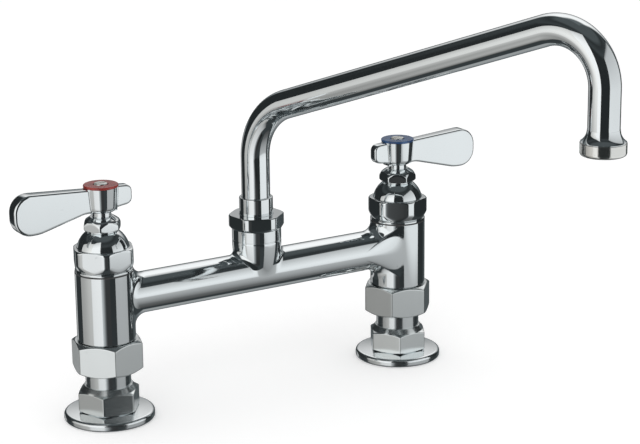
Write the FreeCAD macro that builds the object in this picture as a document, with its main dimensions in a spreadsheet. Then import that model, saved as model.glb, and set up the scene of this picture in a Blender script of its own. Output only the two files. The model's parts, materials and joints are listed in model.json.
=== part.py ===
import FreeCAD, Part

import os
import re
from math import radians, sqrt

import Sketcher
from FreeCAD import Vector

# A deck-mounted bridge mixing faucet, 8 in between its two inlets. X runs along the bridge from the
# hot valve to the cold one, -Y is the user's side, Z is up. The origin lies on the deck, midway
# between the two inlets. Both valves are closed, and the spout is swung a little towards the cold side.

doc = FreeCAD.newDocument("bridge_faucet")
sizes = doc.addObject("Spreadsheet::Sheet", "Sizes")

# Driving dimensions: millimetres and degrees.
DRIVING = (
    # running fits and joints
    ("centre_distance", 203.2), ("running_gap", 0.08), ("thread_gap", 0.05), ("face_gap", 0.1),
    ("joint_gap", 0.3),
    # flanged inlets
    ("flange_od", 53.4), ("flange_thickness", 4.8), ("flange_rounding", 2), ("flange_crown", 0.9),
    ("inlet_neck_od", 31.6), ("inlet_neck_height", 0.4), ("inlet_height", 21.1), ("inlet_flats", 32.8),
    ("inlet_chamfer_drop", 4.1), ("inlet_shoulder_drop", 2.95), ("inlet_top_od", 28.2), ("inlet_bore", 19.6),
    ("inlet_bore_depth", 12),
    # tailpieces and coupling nuts
    ("nipple_od", 26.7), ("nipple_bore", 19), ("nipple_exposed", 8.9), ("nipple_engagement", 8.6),
    ("nipple_collar_od", 29.8), ("nipple_collar_height", 2.6), ("coupling_flats", 37.7),
    ("coupling_height", 18.7), ("coupling_lip", 3), ("coupling_washer_thickness", 2),
    # bridge casting
    ("column_od", 34.2), ("column_height", 40.7), ("spigot_od", 30.4), ("inlet_passage", 21),
    ("seat_web_top", 9.8), ("seat_web_thickness", 4.6), ("chamber_bore", 26), ("bar_od", 24.3),
    ("bar_height", 23.9), ("bar_bore", 16), ("bar_fillet", 8), ("boss_root_od", 23.8), ("boss_curve", 70),
    ("boss_od", 29.7), ("boss_height", 27.6), ("boss_groove_height", 20), ("boss_groove_width", 0.8),
    ("boss_groove_depth", 0.4), ("boss_fillet", 4), ("boss_thread_od", 26.8), ("boss_thread_length", 5.5),
    ("boss_counterbore", 24.4),
    ("spindle_bore", 18.2), ("spindle_bore_depth", 20.4), ("boss_passage", 14),
    # valve seats
    ("seat_thread_od", 16), ("seat_head_od", 19), ("seat_head_height", 1.6), ("seat_crown_od", 13.6),
    ("seat_crown_height", 0.8), ("seat_passage", 10.4),
    # seat washers and the swivel cups that hold them
    ("washer_od", 15.8), ("washer_thickness", 3), ("cup_od", 18), ("cup_rim", 1.4), ("cup_web", 3.4),
    ("cup_neck_od", 10), ("cup_neck_height", 4.5), ("washer_screw_od", 3.8), ("washer_screw_head_od", 6.8),
    ("washer_screw_head_height", 1.8),
    # bonnets
    ("bonnet_washer_thickness", 0.6), ("bonnet_bead_inset", 1.2), ("bonnet_bead_height", 1.5),
    ("bonnet_hex_od", 36.6), ("bonnet_flat_depth", 1.55), ("bonnet_hex_height", 12.7), ("dome_inset", 3),
    ("dome_rise", 9.6), ("dome_radius", 15.6), ("dome_top_od", 18.1), ("bonnet_edge_rounding", 0.4),
    ("bonnet_neck_od", 16.8), ("bonnet_neck_height", 6.2),
    ("bonnet_spigot_length", 9), ("stem_thread_travel", 17.5), ("packing_bore", 14), ("packing_depth", 4.2),
    # packing, gland and packing nuts
    ("packing_height", 3), ("gland_height", 1.5), ("packing_nut_flats", 20), ("packing_nut_height", 7.7),
    ("packing_nut_gap", 1.1), ("packing_nut_top_od", 13.6), ("packing_nut_dome", 8),
    # stems
    ("stem_od", 10.9), ("stem_thread_od", 14), ("stem_thread_length", 14), ("stem_shank_od", 9.6),
    ("stem_pin_od", 6), ("stem_pin_length", 4.6), ("stem_reveal", 2.6), ("stem_square", 7.6),
    ("stem_square_length", 8.2), ("hub_seat_depth", 3), ("valve_rise", 2.4), ("valve_opening", 90),
    # lever handles
    ("hub_height", 14.7), ("hub_top_od", 20), ("hub_bottom_od", 17.6), ("hub_rounding", 3.4),
    ("lever_reach", 55.4), ("lever_end_drop", 7.1), ("lever_end_rise", 2.7), ("lever_flare_start", 12),
    ("lever_end_length", 15.2), ("lever_root_bottom", 0.3), ("lever_end_rounding", 10.2),
    ("lever_flare_rounding", 24), ("lever_thickness", 9), ("tail_reach", 18.4), ("tail_thickness", 6.2),
    ("tail_bottom", 2.9), ("tail_top", 13.9), ("tail_rounding", 4), ("lever_edge_rounding", 1.9),
    # index rings and handle screws
    ("index_od", 20.3), ("index_thickness", 1.5), ("index_bore", 8.6), ("index_rounding", 0.5),
    ("handle_screw_od", 4.4), ("handle_screw_length", 13.5), ("handle_screw_head_od", 8),
    ("handle_screw_head_height", 2.2), ("handle_screw_slot", 1.2), ("handle_screw_slot_depth", 0.9),
    # spout
    ("spout_turn", -71), ("tube_od", 17.2), ("tube_wall", 1.2), ("riser_height", 35), ("rise_radius", 37.4),
    ("spout_slope", 19.4), ("spout_reach", 241.3), ("outlet_radius", 28), ("outlet_drop", 25.4),
    # spout collar, its nut, rings and bearing washer
    ("collar_od", 20.3), ("collar_height", 10.6), ("collar_insert", 1.5), ("collar_flange_od", 23.8),
    ("collar_flange_height", 1.4), ("spindle_length", 17.5), ("spindle_passage", 13), ("ring_section", 1.78),
    ("ring_groove_width", 2.3), ("ring_groove_depth", 1.65), ("ring_pitch", 6), ("ring_first_depth", 4),
    ("bearing_thickness", 0.9), ("spout_nut_od", 33.4), ("spout_nut_flat_depth", 1.5), ("spout_nut_height", 8.4),
    # outlet fitting and aerator
    ("outlet_top_od", 18.1), ("outlet_flare_od", 24.2), ("outlet_flare_height", 6.4), ("outlet_rim", 0.3),
    ("outlet_socket", 4.2), ("outlet_bore", 14.8), ("outlet_thread_od", 23.4), ("outlet_thread_length", 3),
    ("aerator_od", 24.8), ("aerator_height", 7), ("aerator_lip", 1.2), ("aerator_mouth", 18.6),
    ("aerator_rounding", 1.8), ("insert_od", 22.6), ("insert_height", 1.8), ("aerator_washer_height", 0.9),
    ("screen_hole", 1.8), ("screen_holes", 10), ("screen_ring", 12.4),
    # clocking of the hexagons about their own axes
    ("hot_inlet_turn", 54), ("cold_inlet_turn", 2), ("hot_coupling_turn", 17), ("cold_coupling_turn", 47),
    ("hot_bonnet_turn", 10), ("cold_bonnet_turn", 24), ("hot_packing_turn", 57), ("cold_packing_turn", 26),
    ("spout_nut_turn", 39),
)
for row, (alias, number) in enumerate(DRIVING, start=1):
    sizes.set(f"A{row}", alias)
    sizes.set(f"B{row}", str(number))
    sizes.setAlias(f"B{row}", alias)
doc.recompute()

# Levels above the deck, stacked upwards from the flanges.
COUPLING_BOTTOM = "inlet_height + nipple_exposed"
COUPLING_TOP = f"({COUPLING_BOTTOM} + coupling_height)"
COLUMN_BOTTOM = f"({COUPLING_TOP} + joint_gap)"
NIPPLE_TOP = f"({COUPLING_BOTTOM} + coupling_lip + nipple_collar_height)"
SPIGOT_BOTTOM = f"({NIPPLE_TOP} + coupling_washer_thickness)"
COLUMN_TOP = f"({COLUMN_BOTTOM} + column_height)"
BAR_AXIS = f"({COLUMN_BOTTOM} + bar_height)"
WEB_TOP = f"({COLUMN_BOTTOM} + seat_web_top)"
SEAT_TOP = f"({WEB_TOP} + seat_head_height + seat_crown_height)"
WASHER_BOTTOM = f"({SEAT_TOP} + face_gap)"
CUP_WEB = f"({WASHER_BOTTOM} + washer_thickness)"
CUP_FLOOR = f"({CUP_WEB} + cup_web)"
CUP_TOP = f"({CUP_FLOOR} + cup_neck_height)"
BONNET_SEAT = f"({COLUMN_TOP} + bonnet_washer_thickness)"
BEAD_TOP = f"({BONNET_SEAT} + bonnet_bead_height)"
HEX_TOP = f"({BEAD_TOP} + bonnet_hex_height)"
DOME_TOP = f"({HEX_TOP} + dome_rise)"
NECK_TOP = f"({DOME_TOP} + bonnet_neck_height)"
PACKING_NUT_BOTTOM = f"({DOME_TOP} + packing_nut_gap)"
PACKING_NUT_TOP = f"({PACKING_NUT_BOTTOM} + packing_nut_height)"
PACKING_FLOOR = f"({NECK_TOP} - packing_depth)"
GLAND_TOP = f"({PACKING_FLOOR} + packing_height + gland_height)"
HUB_BOTTOM = f"({PACKING_NUT_TOP} + stem_reveal)"
HUB_TOP = f"({HUB_BOTTOM} + hub_height)"
STEM_THREAD_TOP = f"({BONNET_SEAT} + bonnet_hex_height - face_gap)"
BOSS_SHOULDER = f"({BAR_AXIS} + boss_height)"
BOSS_TOP = f"({BOSS_SHOULDER} + boss_thread_length)"
BEARING_BOTTOM = f"({BOSS_TOP} + joint_gap - 2 * face_gap - collar_flange_height - bearing_thickness)"
FLANGE_BOTTOM = f"({BEARING_BOTTOM} + bearing_thickness + face_gap)"
FLANGE_TOP = f"({FLANGE_BOTTOM} + collar_flange_height)"
SPOUT_NUT_TOP = f"({BOSS_SHOULDER} + spout_nut_height)"
COLLAR_TOP = f"({SPOUT_NUT_TOP} + collar_height)"
TUBE_BOTTOM = f"({SPOUT_NUT_TOP} - collar_insert)"
RISER_TOP = f"({SPOUT_NUT_TOP} + riser_height)"
SLOPE_RUN = ("(spout_reach - outlet_radius * (1 + sin(spout_slope))"
             " - rise_radius * (1 - sin(spout_slope)))")
OUTLET_END = (f"({RISER_TOP} + rise_radius * cos(spout_slope) + {SLOPE_RUN} * tan(spout_slope)"
              " - outlet_radius * cos(spout_slope) - outlet_drop)")
FLARE_TOP = f"({OUTLET_END} + outlet_socket)"
FLARE_BOTTOM = f"({FLARE_TOP} - outlet_flare_height)"
OUTLET_SHOULDER = f"({FLARE_BOTTOM} - outlet_rim)"
OUTLET_BOTTOM = f"({OUTLET_SHOULDER} - outlet_thread_length)"
AERATOR_TOP = f"({OUTLET_SHOULDER} - face_gap)"
AERATOR_BOTTOM = f"({AERATOR_TOP} - aerator_height)"
INSERT_BOTTOM = f"({AERATOR_BOTTOM} + aerator_lip + thread_gap)"


FUNCTIONS = ("sqrt", "sin", "cos", "tan")


# Diameters that follow from others.
BEAD_OD = "(bonnet_hex_od - 2 * bonnet_bead_inset)"
BONNET_FLATS = "(bonnet_hex_od - 2 * bonnet_flat_depth)"
DOME_OD = "(bonnet_hex_od - 2 * dome_inset)"
SPOUT_NUT_FLATS = "(spout_nut_od - 2 * spout_nut_flat_depth)"
FLARE_END = "(lever_reach - lever_end_length)"


def cell(text):
    """Put the sheet's name before each size that an expression names."""
    return re.sub(r"[a-z]\w*", lambda word: word[0] if word[0] in FUNCTIONS else "Sizes." + word[0], text)


def value(text):
    """Work an expression out in millimetres."""
    result = doc.getObject("Reader").evalExpression(cell(text))
    return float(getattr(result, "Value", result))


doc.addObject("App::FeaturePython", "Reader")


def new_body(name, across="0", turn="0", forward="0"):
    """A body of its own for one piece, standing on an upright axis."""
    body = doc.addObject("PartDesign::Body", name)
    body.Label = name
    body.setExpression("Placement.Base.x", cell(across))
    body.setExpression("Placement.Base.y", cell(forward))
    body.setExpression("Placement.Rotation.Angle", cell(turn))
    body.Placement.Rotation.Axis = Vector(0, 0, 1)
    return body


def new_sketch(body, plane, height="0"):
    """An empty sketch on one of the body's origin planes, lifted by height along the plane's normal."""
    sketch = body.newObject("Sketcher::SketchObject", body.Name + "_sketch")
    support = [item for item in body.Origin.OriginFeatures if item.Role == plane + "_Plane"][0]
    sketch.AttachmentSupport = (support, [""])
    sketch.MapMode = "FlatFace"
    sketch.setExpression("AttachmentOffset.Base.z", cell(height))
    return sketch


def bound(sketch, constraint, text):
    """Add a dimension whose number is the given expression."""
    index = sketch.addConstraint(constraint)
    sketch.setExpression(f"Constraints[{index}]", cell(text))


def add_loop(sketch, corners):
    """Draw a closed outline, anticlockwise through corners given as pairs of expressions.

    A corner may carry a third expression, the radius of an arc that leads from it to the next one,
    with a minus in front where the arc is hollow.
    """
    points = [Vector(value(corner[0]), value(corner[1]), 0) for corner in corners]
    first = len(sketch.Geometry)
    for corner, start, end in zip(corners, points, points[1:] + points[:1]):
        if len(corner) == 2:
            sketch.addGeometry(Part.LineSegment(start, end))
        else:
            sketch.addGeometry(arc_between(start, end, value(corner[2])))
    for index, corner in enumerate(corners):
        side = first + index
        following = (index + 1) % len(corners)
        start, end = arc_ends(corner)
        next_start = arc_ends(corners[following])[0]
        sketch.addConstraint(Sketcher.Constraint("Coincident", side, end, first + following, next_start))
        point = points[index]
        bound(sketch, Sketcher.Constraint("DistanceX", -1, 1, side, start, point.x), corner[0])
        bound(sketch, Sketcher.Constraint("DistanceY", -1, 1, side, start, point.y), corner[1])
        if len(corner) == 3:
            radius = corner[2].removeprefix("-")
            bound(sketch, Sketcher.Constraint("Radius", side, value(radius)), radius)


def arc_ends(corner):
    """Which ends of a side come first and last along an outline: a hollow arc runs backwards."""
    hollow = len(corner) == 3 and corner[2].startswith("-")
    return (2, 1) if hollow else (1, 2)


def arc_between(start, end, radius):
    """The arc of that radius from start to end, bulging out of an anticlockwise outline if positive."""
    chord = end - start
    left = Vector(-chord.y, chord.x, 0).normalize()
    reach = sqrt(max(radius * radius - chord.Length ** 2 / 4, 0))
    centre = (start + end) / 2 + left * (reach if radius > 0 else -reach)
    circle = Part.Circle(centre, Vector(0, 0, 1), abs(radius))
    if radius < 0:
        start, end = end, start
    return Part.ArcOfCircle(circle, circle.parameter(start), circle.parameter(end))


def add_circle(sketch, diameter, across="0", up="0"):
    """Draw a circle of that diameter about a point."""
    centre = Vector(value(across), value(up), 0)
    radius = value(diameter) / 2
    circle = sketch.addGeometry(Part.Circle(centre, Vector(0, 0, 1), radius))
    bound(sketch, Sketcher.Constraint("Diameter", circle, 2 * radius), diameter)
    bound(sketch, Sketcher.Constraint("DistanceX", -1, 1, circle, 3, centre.x), across)
    bound(sketch, Sketcher.Constraint("DistanceY", -1, 1, circle, 3, centre.y), up)


def add_hexagon(sketch, flats):
    """Draw a hexagon of that width across flats about the axis, with a corner on the sketch's X axis."""
    corner = f"({flats}) / sqrt(3)"
    half = f"({flats}) / 2"
    side = f"({flats}) / sqrt(12)"
    add_loop(sketch, ((corner, "0"), (side, half), (f"-{side}", half), (f"-{corner}", "0"),
                      (f"-{side}", f"-{half}"), (side, f"-{half}")))


def turned(body, corners):
    """Turn a piece about its axis from half its section, given as (radius, height) expressions."""
    sketch = new_sketch(body, "XZ")
    add_loop(sketch, corners)
    solid = body.newObject("PartDesign::Revolution", body.Name + "_turned")
    solid.Profile = sketch
    solid.ReferenceAxis = (sketch, ["V_Axis"])
    solid.Angle = 360
    sketch.Visibility = False
    doc.recompute()
    return solid


def prism(body, sketch, length, kind="PartDesign::Pad", midplane=False, reverse=False):
    """Pad or pocket a sketch by a length: a pad rises along the sketch's normal, a pocket sinks."""
    solid = body.newObject(kind, body.Name + "_" + kind.split("::")[1].lower())
    solid.Profile = sketch
    solid.setExpression("Length", cell(length))
    solid.Midplane = midplane
    solid.Reversed = reverse
    sketch.Visibility = False
    before = volume_under(body, solid)
    doc.recompute()
    if kind.endswith("Pocket") and solid.Shape.Volume > before - 0.01:
        raise RuntimeError(f"{solid.Name} cuts nothing")
    return solid


def volume_under(body, feature):
    """Volume of the body just before a feature."""
    return feature.BaseFeature.Shape.Volume if feature.BaseFeature else 0.0


def bored(body, diameter, bottom, top, across="0"):
    """Bore a round hole between two levels."""
    sketch = new_sketch(body, "XY", bottom)
    add_circle(sketch, diameter, across)
    return prism(body, sketch, f"{top} - ({bottom})", "PartDesign::Pocket", reverse=True)


def milled_flats(body, blank_od, flats, bottom, height):
    """Mill six flats on a turned blank between two levels."""
    sketch = new_sketch(body, "XY", bottom)
    add_circle(sketch, f"({blank_od}) + 4")
    add_hexagon(sketch, flats)
    return prism(body, sketch, height, "PartDesign::Pocket", reverse=True)


def dressed(body, base, kind, amount, wanted):
    """Fillet or chamfer the edges of a feature that a test picks."""
    names = [f"Edge{index}" for index, edge in enumerate(base.Shape.Edges, start=1) if wanted(edge)]
    if not names:
        raise RuntimeError(f"{body.Name} has no edge to dress")
    solid = body.newObject(f"PartDesign::{kind}", f"{body.Name}_{kind.lower()}")
    solid.Base = (base, names)
    solid.setExpression("Radius" if kind == "Fillet" else "Size", cell(amount))
    doc.recompute()
    return solid


def ring_edge(diameter, height):
    """A test for a round edge about the body's own axis."""
    radius = value(diameter) / 2
    level = value(height)

    def wanted(edge):
        curve = edge.Curve
        if not isinstance(curve, Part.Circle):
            return False
        return abs(curve.Radius - radius) < 0.02 and abs(curve.Center.z - level) < 0.02
    return wanted


def inlet(side, axis):
    """Flanged inlet: a hexagon on a polished round flange, with a female pipe thread from below."""
    body = new_body(f"{side}_flanged_inlet", axis, f"{side}_inlet_turn")
    blank = "2 * inlet_flats / sqrt(3)"
    crown = "(flange_thickness + flange_crown)"
    hexagon_bottom = f"({crown} + inlet_neck_height)"
    base = turned(body, (
        ("inlet_bore / 2", "0"), ("flange_od / 2", "0"), ("flange_od / 2", "flange_thickness"),
        ("inlet_neck_od / 2", crown), ("inlet_neck_od / 2", hexagon_bottom), (f"{blank} / 2", hexagon_bottom),
        (f"{blank} / 2", "inlet_height - inlet_chamfer_drop"),
        ("inlet_flats / 2", "inlet_height - inlet_shoulder_drop"),
        ("inlet_top_od / 2", "inlet_height"), ("nipple_od / 2 + thread_gap", "inlet_height"),
        ("nipple_od / 2 + thread_gap", "inlet_bore_depth"), ("inlet_bore / 2", "inlet_bore_depth")))
    base = dressed(body, base, "Fillet", "flange_rounding", ring_edge("flange_od", "flange_thickness"))
    base = dressed(body, base, "Fillet", "flange_rounding * 0.7", ring_edge("flange_od", "0"))
    milled_flats(body, blank, "inlet_flats", hexagon_bottom, f"inlet_height - {hexagon_bottom}")


def tailpiece(side, axis):
    """Tailpiece: a nipple screwed into the inlet, with a collar that the coupling nut draws up."""
    body = new_body(f"{side}_tailpiece", axis)
    lip_top = f"{COUPLING_BOTTOM} + coupling_lip"
    base = turned(body, (
        ("nipple_bore / 2", "inlet_height - nipple_engagement"),
        ("nipple_od / 2", "inlet_height - nipple_engagement"), ("nipple_od / 2", lip_top),
        ("nipple_collar_od / 2", lip_top), ("nipple_collar_od / 2", NIPPLE_TOP),
        ("nipple_bore / 2", NIPPLE_TOP)))
    dressed(body, base, "Chamfer", "flange_rounding / 2",
            ring_edge("nipple_od", "inlet_height - nipple_engagement"))


def coupling_nut(side, axis):
    """Coupling nut: a hexagon with an inner lip under the tailpiece's collar."""
    body = new_body(f"{side}_coupling_nut", axis, f"{side}_coupling_turn")
    corner = "coupling_flats / sqrt(3)"
    face = "coupling_flats * 0.49"
    slope = f"({corner} - {face}) / sqrt(3)"
    turned(body, (
        ("nipple_od / 2 + face_gap", COUPLING_BOTTOM), (face, COUPLING_BOTTOM),
        (corner, f"{COUPLING_BOTTOM} + {slope}"), (corner, f"{COUPLING_TOP} - {slope}"), (face, COUPLING_TOP),
        ("spigot_od / 2 + thread_gap", COUPLING_TOP),
        ("spigot_od / 2 + thread_gap", f"{COUPLING_BOTTOM} + coupling_lip"),
        ("nipple_od / 2 + face_gap", f"{COUPLING_BOTTOM} + coupling_lip")))
    milled_flats(body, f"2 * {corner}", "coupling_flats", COUPLING_BOTTOM, "coupling_height")


def washer(name, axis, bore, diameter, bottom, height):
    """A plain ring between two levels."""
    top = f"{bottom} + {height}"
    turned(new_body(name, axis), ((f"{bore} / 2", bottom), (f"{diameter} / 2", bottom), (f"{diameter} / 2", top),
                                  (f"{bore} / 2", top)))


def valve_seat(side, axis):
    """Removable seat: a threaded brass ring in the column's web, with a raised crown for the washer."""
    body = new_body(f"{side}_valve_seat", axis)
    head_top = f"{WEB_TOP} + seat_head_height"
    turned(body, (
        ("seat_passage / 2", f"{WEB_TOP} - seat_web_thickness"),
        ("seat_thread_od / 2 - thread_gap", f"{WEB_TOP} - seat_web_thickness"),
        ("seat_thread_od / 2 - thread_gap", WEB_TOP), ("seat_head_od / 2", WEB_TOP),
        ("seat_head_od / 2", head_top), ("seat_crown_od / 2", head_top), ("seat_crown_od / 2 - 0.3", SEAT_TOP),
        ("seat_passage / 2", SEAT_TOP)))


def washer_group(side, axis):
    """Rubber seat washer, the swivel cup that backs it, and the screw that holds it there."""
    screw_bore = "washer_screw_od / 2 + thread_gap"
    washer(f"{side}_seat_washer", axis, "(washer_screw_od + 2 * thread_gap)", "washer_od", WASHER_BOTTOM,
           "washer_thickness")
    rim_bottom = f"{CUP_WEB} - cup_rim"
    body = new_body(f"{side}_washer_cup", axis)
    turned(body, (
        (screw_bore, CUP_WEB), ("washer_od / 2 + thread_gap", CUP_WEB),
        ("washer_od / 2 + thread_gap", rim_bottom), ("cup_od / 2", rim_bottom), ("cup_od / 2", f"{CUP_WEB} + 2"),
        ("cup_neck_od / 2", f"{CUP_WEB} + 2"), ("cup_neck_od / 2", CUP_TOP),
        ("stem_pin_od / 2 + running_gap", CUP_TOP), ("stem_pin_od / 2 + running_gap", CUP_FLOOR),
        (screw_bore, CUP_FLOOR)))
    body = new_body(f"{side}_washer_screw", axis)
    head_bottom = f"{WASHER_BOTTOM} - washer_screw_head_height"
    screw = turned(body, (
        ("0", head_bottom), ("washer_screw_head_od / 2", head_bottom),
        ("washer_screw_head_od / 2", WASHER_BOTTOM), ("washer_screw_od / 2", WASHER_BOTTOM),
        ("washer_screw_od / 2", f"{CUP_FLOOR} - joint_gap"), ("0", f"{CUP_FLOOR} - joint_gap")))
    dressed(body, screw, "Fillet", "washer_screw_head_height / 3", ring_edge("washer_screw_head_od", head_bottom))


def bonnet(side, axis):
    """Bonnet: a domed cap with a flatted girdle, screwed into the column and threaded for the stem."""
    body = new_body(f"{side}_bonnet", axis, f"{side}_bonnet_turn")
    thread_top = f"({STEM_THREAD_TOP} + valve_rise + face_gap)"
    spigot_bottom = f"({COLUMN_TOP} - bonnet_spigot_length)"
    undercut = f"{BONNET_FLATS} / 2 - bonnet_edge_rounding"
    flare_top = f"{BEAD_TOP} + 2 * (bonnet_flat_depth + bonnet_edge_rounding)"
    base = turned(body, (
        ("0", spigot_bottom), ("chamber_bore / 2 - thread_gap", spigot_bottom),
        ("chamber_bore / 2 - thread_gap", BONNET_SEAT),
        (f"{BEAD_OD} / 2 - bonnet_edge_rounding", BONNET_SEAT),
        (f"{BEAD_OD} / 2", f"{BONNET_SEAT} + bonnet_edge_rounding"),
        (f"{BEAD_OD} / 2", f"{BEAD_TOP} - bonnet_edge_rounding"), (undercut, BEAD_TOP),
        ("bonnet_hex_od / 2", flare_top), ("bonnet_hex_od / 2", HEX_TOP),
        (f"{DOME_OD} / 2", HEX_TOP, "dome_radius"), ("dome_top_od / 2", DOME_TOP), ("0", DOME_TOP)))
    dressed(body, base, "Fillet", "bonnet_edge_rounding", ring_edge("bonnet_hex_od", HEX_TOP))
    turned(body, (("0", HEX_TOP), ("bonnet_neck_od / 2", HEX_TOP), ("bonnet_neck_od / 2", NECK_TOP),
                  ("0", NECK_TOP)))
    milled_flats(body, "bonnet_hex_od", BONNET_FLATS, BEAD_TOP, "bonnet_hex_height")
    bored(body, "stem_thread_od + 2 * running_gap", spigot_bottom, thread_top)
    bored(body, "stem_od + 2 * face_gap", thread_top, PACKING_FLOOR)
    bored(body, "packing_bore", PACKING_FLOOR, NECK_TOP)


def packing_group(side, axis):
    """Packing ring and gland round the stem, and the hexagonal nut that presses them down."""
    stem_hole = "(stem_od + 2 * running_gap)"
    packing_od = "(packing_bore - 2 * thread_gap)"
    washer(f"{side}_packing", axis, stem_hole, packing_od, PACKING_FLOOR, "packing_height")
    washer(f"{side}_packing_gland", axis, stem_hole, packing_od, f"({PACKING_FLOOR} + packing_height)",
           "gland_height")
    body = new_body(f"{side}_packing_nut", axis, f"{side}_packing_turn")
    corner = "packing_nut_flats / sqrt(3)"
    cone_bottom = f"{PACKING_NUT_TOP} - ({corner} - packing_nut_top_od / 2)"
    face = "packing_nut_flats * 0.5"
    turned(body, (
        ("bonnet_neck_od / 2 + thread_gap", PACKING_NUT_BOTTOM), (face, PACKING_NUT_BOTTOM),
        (corner, f"{PACKING_NUT_BOTTOM} + ({corner} - {face}) / 2"),
        (corner, cone_bottom, "packing_nut_dome"), ("packing_nut_top_od / 2", PACKING_NUT_TOP),
        ("stem_od / 2 + face_gap", PACKING_NUT_TOP),
        ("stem_od / 2 + face_gap", GLAND_TOP), ("bonnet_neck_od / 2 + thread_gap", GLAND_TOP)))
    milled_flats(body, f"2 * {corner}", "packing_nut_flats", PACKING_NUT_BOTTOM, "packing_nut_height")


def stem(side, axis):
    """Rising stem: a quick thread in the bonnet, a swivel pin in the washer cup and a square for the lever."""
    body = new_body(f"{side}_stem", axis)
    thread_bottom = f"{STEM_THREAD_TOP} - stem_thread_length"
    pin_bottom = f"{CUP_FLOOR} + face_gap"
    shank_bottom = f"{CUP_TOP} + face_gap"
    square_bottom = f"({HUB_BOTTOM} + hub_seat_depth)"
    stem_top = f"({square_bottom} + stem_square_length)"
    screw_bore = "handle_screw_od / 2 + thread_gap"
    screw_floor = f"{HUB_TOP} - handle_screw_length - joint_gap"
    turned(body, (
        ("0", pin_bottom), ("stem_pin_od / 2", pin_bottom), ("stem_pin_od / 2", shank_bottom),
        ("stem_shank_od / 2", shank_bottom), ("stem_shank_od / 2", thread_bottom),
        ("stem_thread_od / 2", thread_bottom), ("stem_thread_od / 2", STEM_THREAD_TOP),
        ("stem_od / 2", STEM_THREAD_TOP), ("stem_od / 2", stem_top), (screw_bore, stem_top),
        (screw_bore, screw_floor), ("0", screw_floor)))
    sketch = new_sketch(body, "XY", square_bottom)
    add_circle(sketch, "stem_od + 4")
    half = "stem_square / 2"
    add_loop(sketch, ((half, half), (f"-{half}", half), (f"-{half}", f"-{half}"), (half, f"-{half}")))
    prism(body, sketch, "stem_square_length", "PartDesign::Pocket", reverse=True)


def lever_handle(side, axis, turn):
    """Lever handle: a tapered hub on the stem's square, with a flared blade outwards and a short tail."""
    body = new_body(f"{side}_lever_handle", axis, turn)
    top = f"{HUB_TOP} - joint_gap"
    root = f"{HUB_BOTTOM} + lever_root_bottom"
    end_bottom = f"{HUB_BOTTOM} - lever_end_drop"
    sketch = new_sketch(body, "XZ")
    add_loop(sketch, (
        ("-tail_reach", f"{HUB_BOTTOM} + tail_bottom"), ("0", root), ("lever_flare_start", root),
        (FLARE_END, end_bottom), ("lever_reach", end_bottom),
        ("lever_reach", f"{HUB_TOP} + lever_end_rise"), ("hub_top_od / 2 + joint_gap", top),
        ("-hub_top_od / 2 - joint_gap", top), ("-tail_reach", f"{HUB_BOTTOM} + tail_top")))
    base = prism(body, sketch, "lever_thickness", midplane=True)
    for edge_sign in ("", "-"):
        sketch = new_sketch(body, "XY", f"{HUB_BOTTOM} - 20")
        tail_edge = f"{edge_sign}tail_thickness / 2"
        blade_edge = f"{edge_sign}lever_thickness / 2"
        outside = f"{edge_sign}lever_thickness"
        add_loop(sketch, (("-tail_reach - 1", tail_edge), ("lever_reach", blade_edge), ("lever_reach", outside),
                          ("-tail_reach - 1", outside)))
        base = prism(body, sketch, "hub_height + 40", "PartDesign::Pocket", reverse=True)
    base = dressed(body, base, "Fillet", "lever_end_rounding", corner_edge("lever_reach"))
    base = dressed(body, base, "Fillet", "tail_rounding", corner_edge("-tail_reach"))
    base = dressed(body, base, "Fillet", "lever_flare_rounding", corner_edge(FLARE_END))
    base = dressed(body, base, "Fillet", "lever_edge_rounding", side_edge)
    turned(body, (
        ("0", HUB_BOTTOM), ("hub_bottom_od / 2 - hub_rounding", HUB_BOTTOM, "hub_rounding"),
        ("hub_bottom_od / 2", f"{HUB_BOTTOM} + hub_rounding"), ("hub_top_od / 2", HUB_TOP), ("0", HUB_TOP)))
    bored(body, "stem_od + 2 * thread_gap", HUB_BOTTOM, f"{HUB_BOTTOM} + hub_seat_depth")
    bored(body, "handle_screw_od + 2 * thread_gap", f"{HUB_BOTTOM} + hub_seat_depth", HUB_TOP)
    sketch = new_sketch(body, "XY", f"{HUB_BOTTOM} + hub_seat_depth")
    half = "(stem_square / 2 + thread_gap)"
    add_loop(sketch, ((half, half), (f"-{half}", half), (f"-{half}", f"-{half}"), (half, f"-{half}")))
    prism(body, sketch, "stem_square_length + face_gap", "PartDesign::Pocket", reverse=True)


def corner_edge(reach):
    """A test for the blade's edges across its thickness, at that reach along it."""
    place = value(reach)

    def wanted(edge):
        ends = [vertex.Point for vertex in edge.Vertexes]
        if len(ends) != 2 or abs(ends[0].y - ends[1].y) < 1:
            return False
        return all(abs(end.x - place) < 0.5 for end in ends)
    return wanted


def side_edge(edge):
    """A test for the blade's outline edges, on its two broad faces."""
    ends = [vertex.Point for vertex in edge.Vertexes]
    return all(end.y > 1 for end in ends) or all(end.y < -1 for end in ends)


def index_ring(side, axis):
    """Coloured index ring on top of the hub."""
    body = new_body(f"{side}_index_ring", axis)
    top = f"{HUB_TOP} + index_thickness"
    base = turned(body, (("index_bore / 2", HUB_TOP), ("index_od / 2", HUB_TOP), ("index_od / 2", top),
                         ("index_bore / 2", top)))
    dressed(body, base, "Fillet", "index_rounding", ring_edge("index_od", top))


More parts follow.
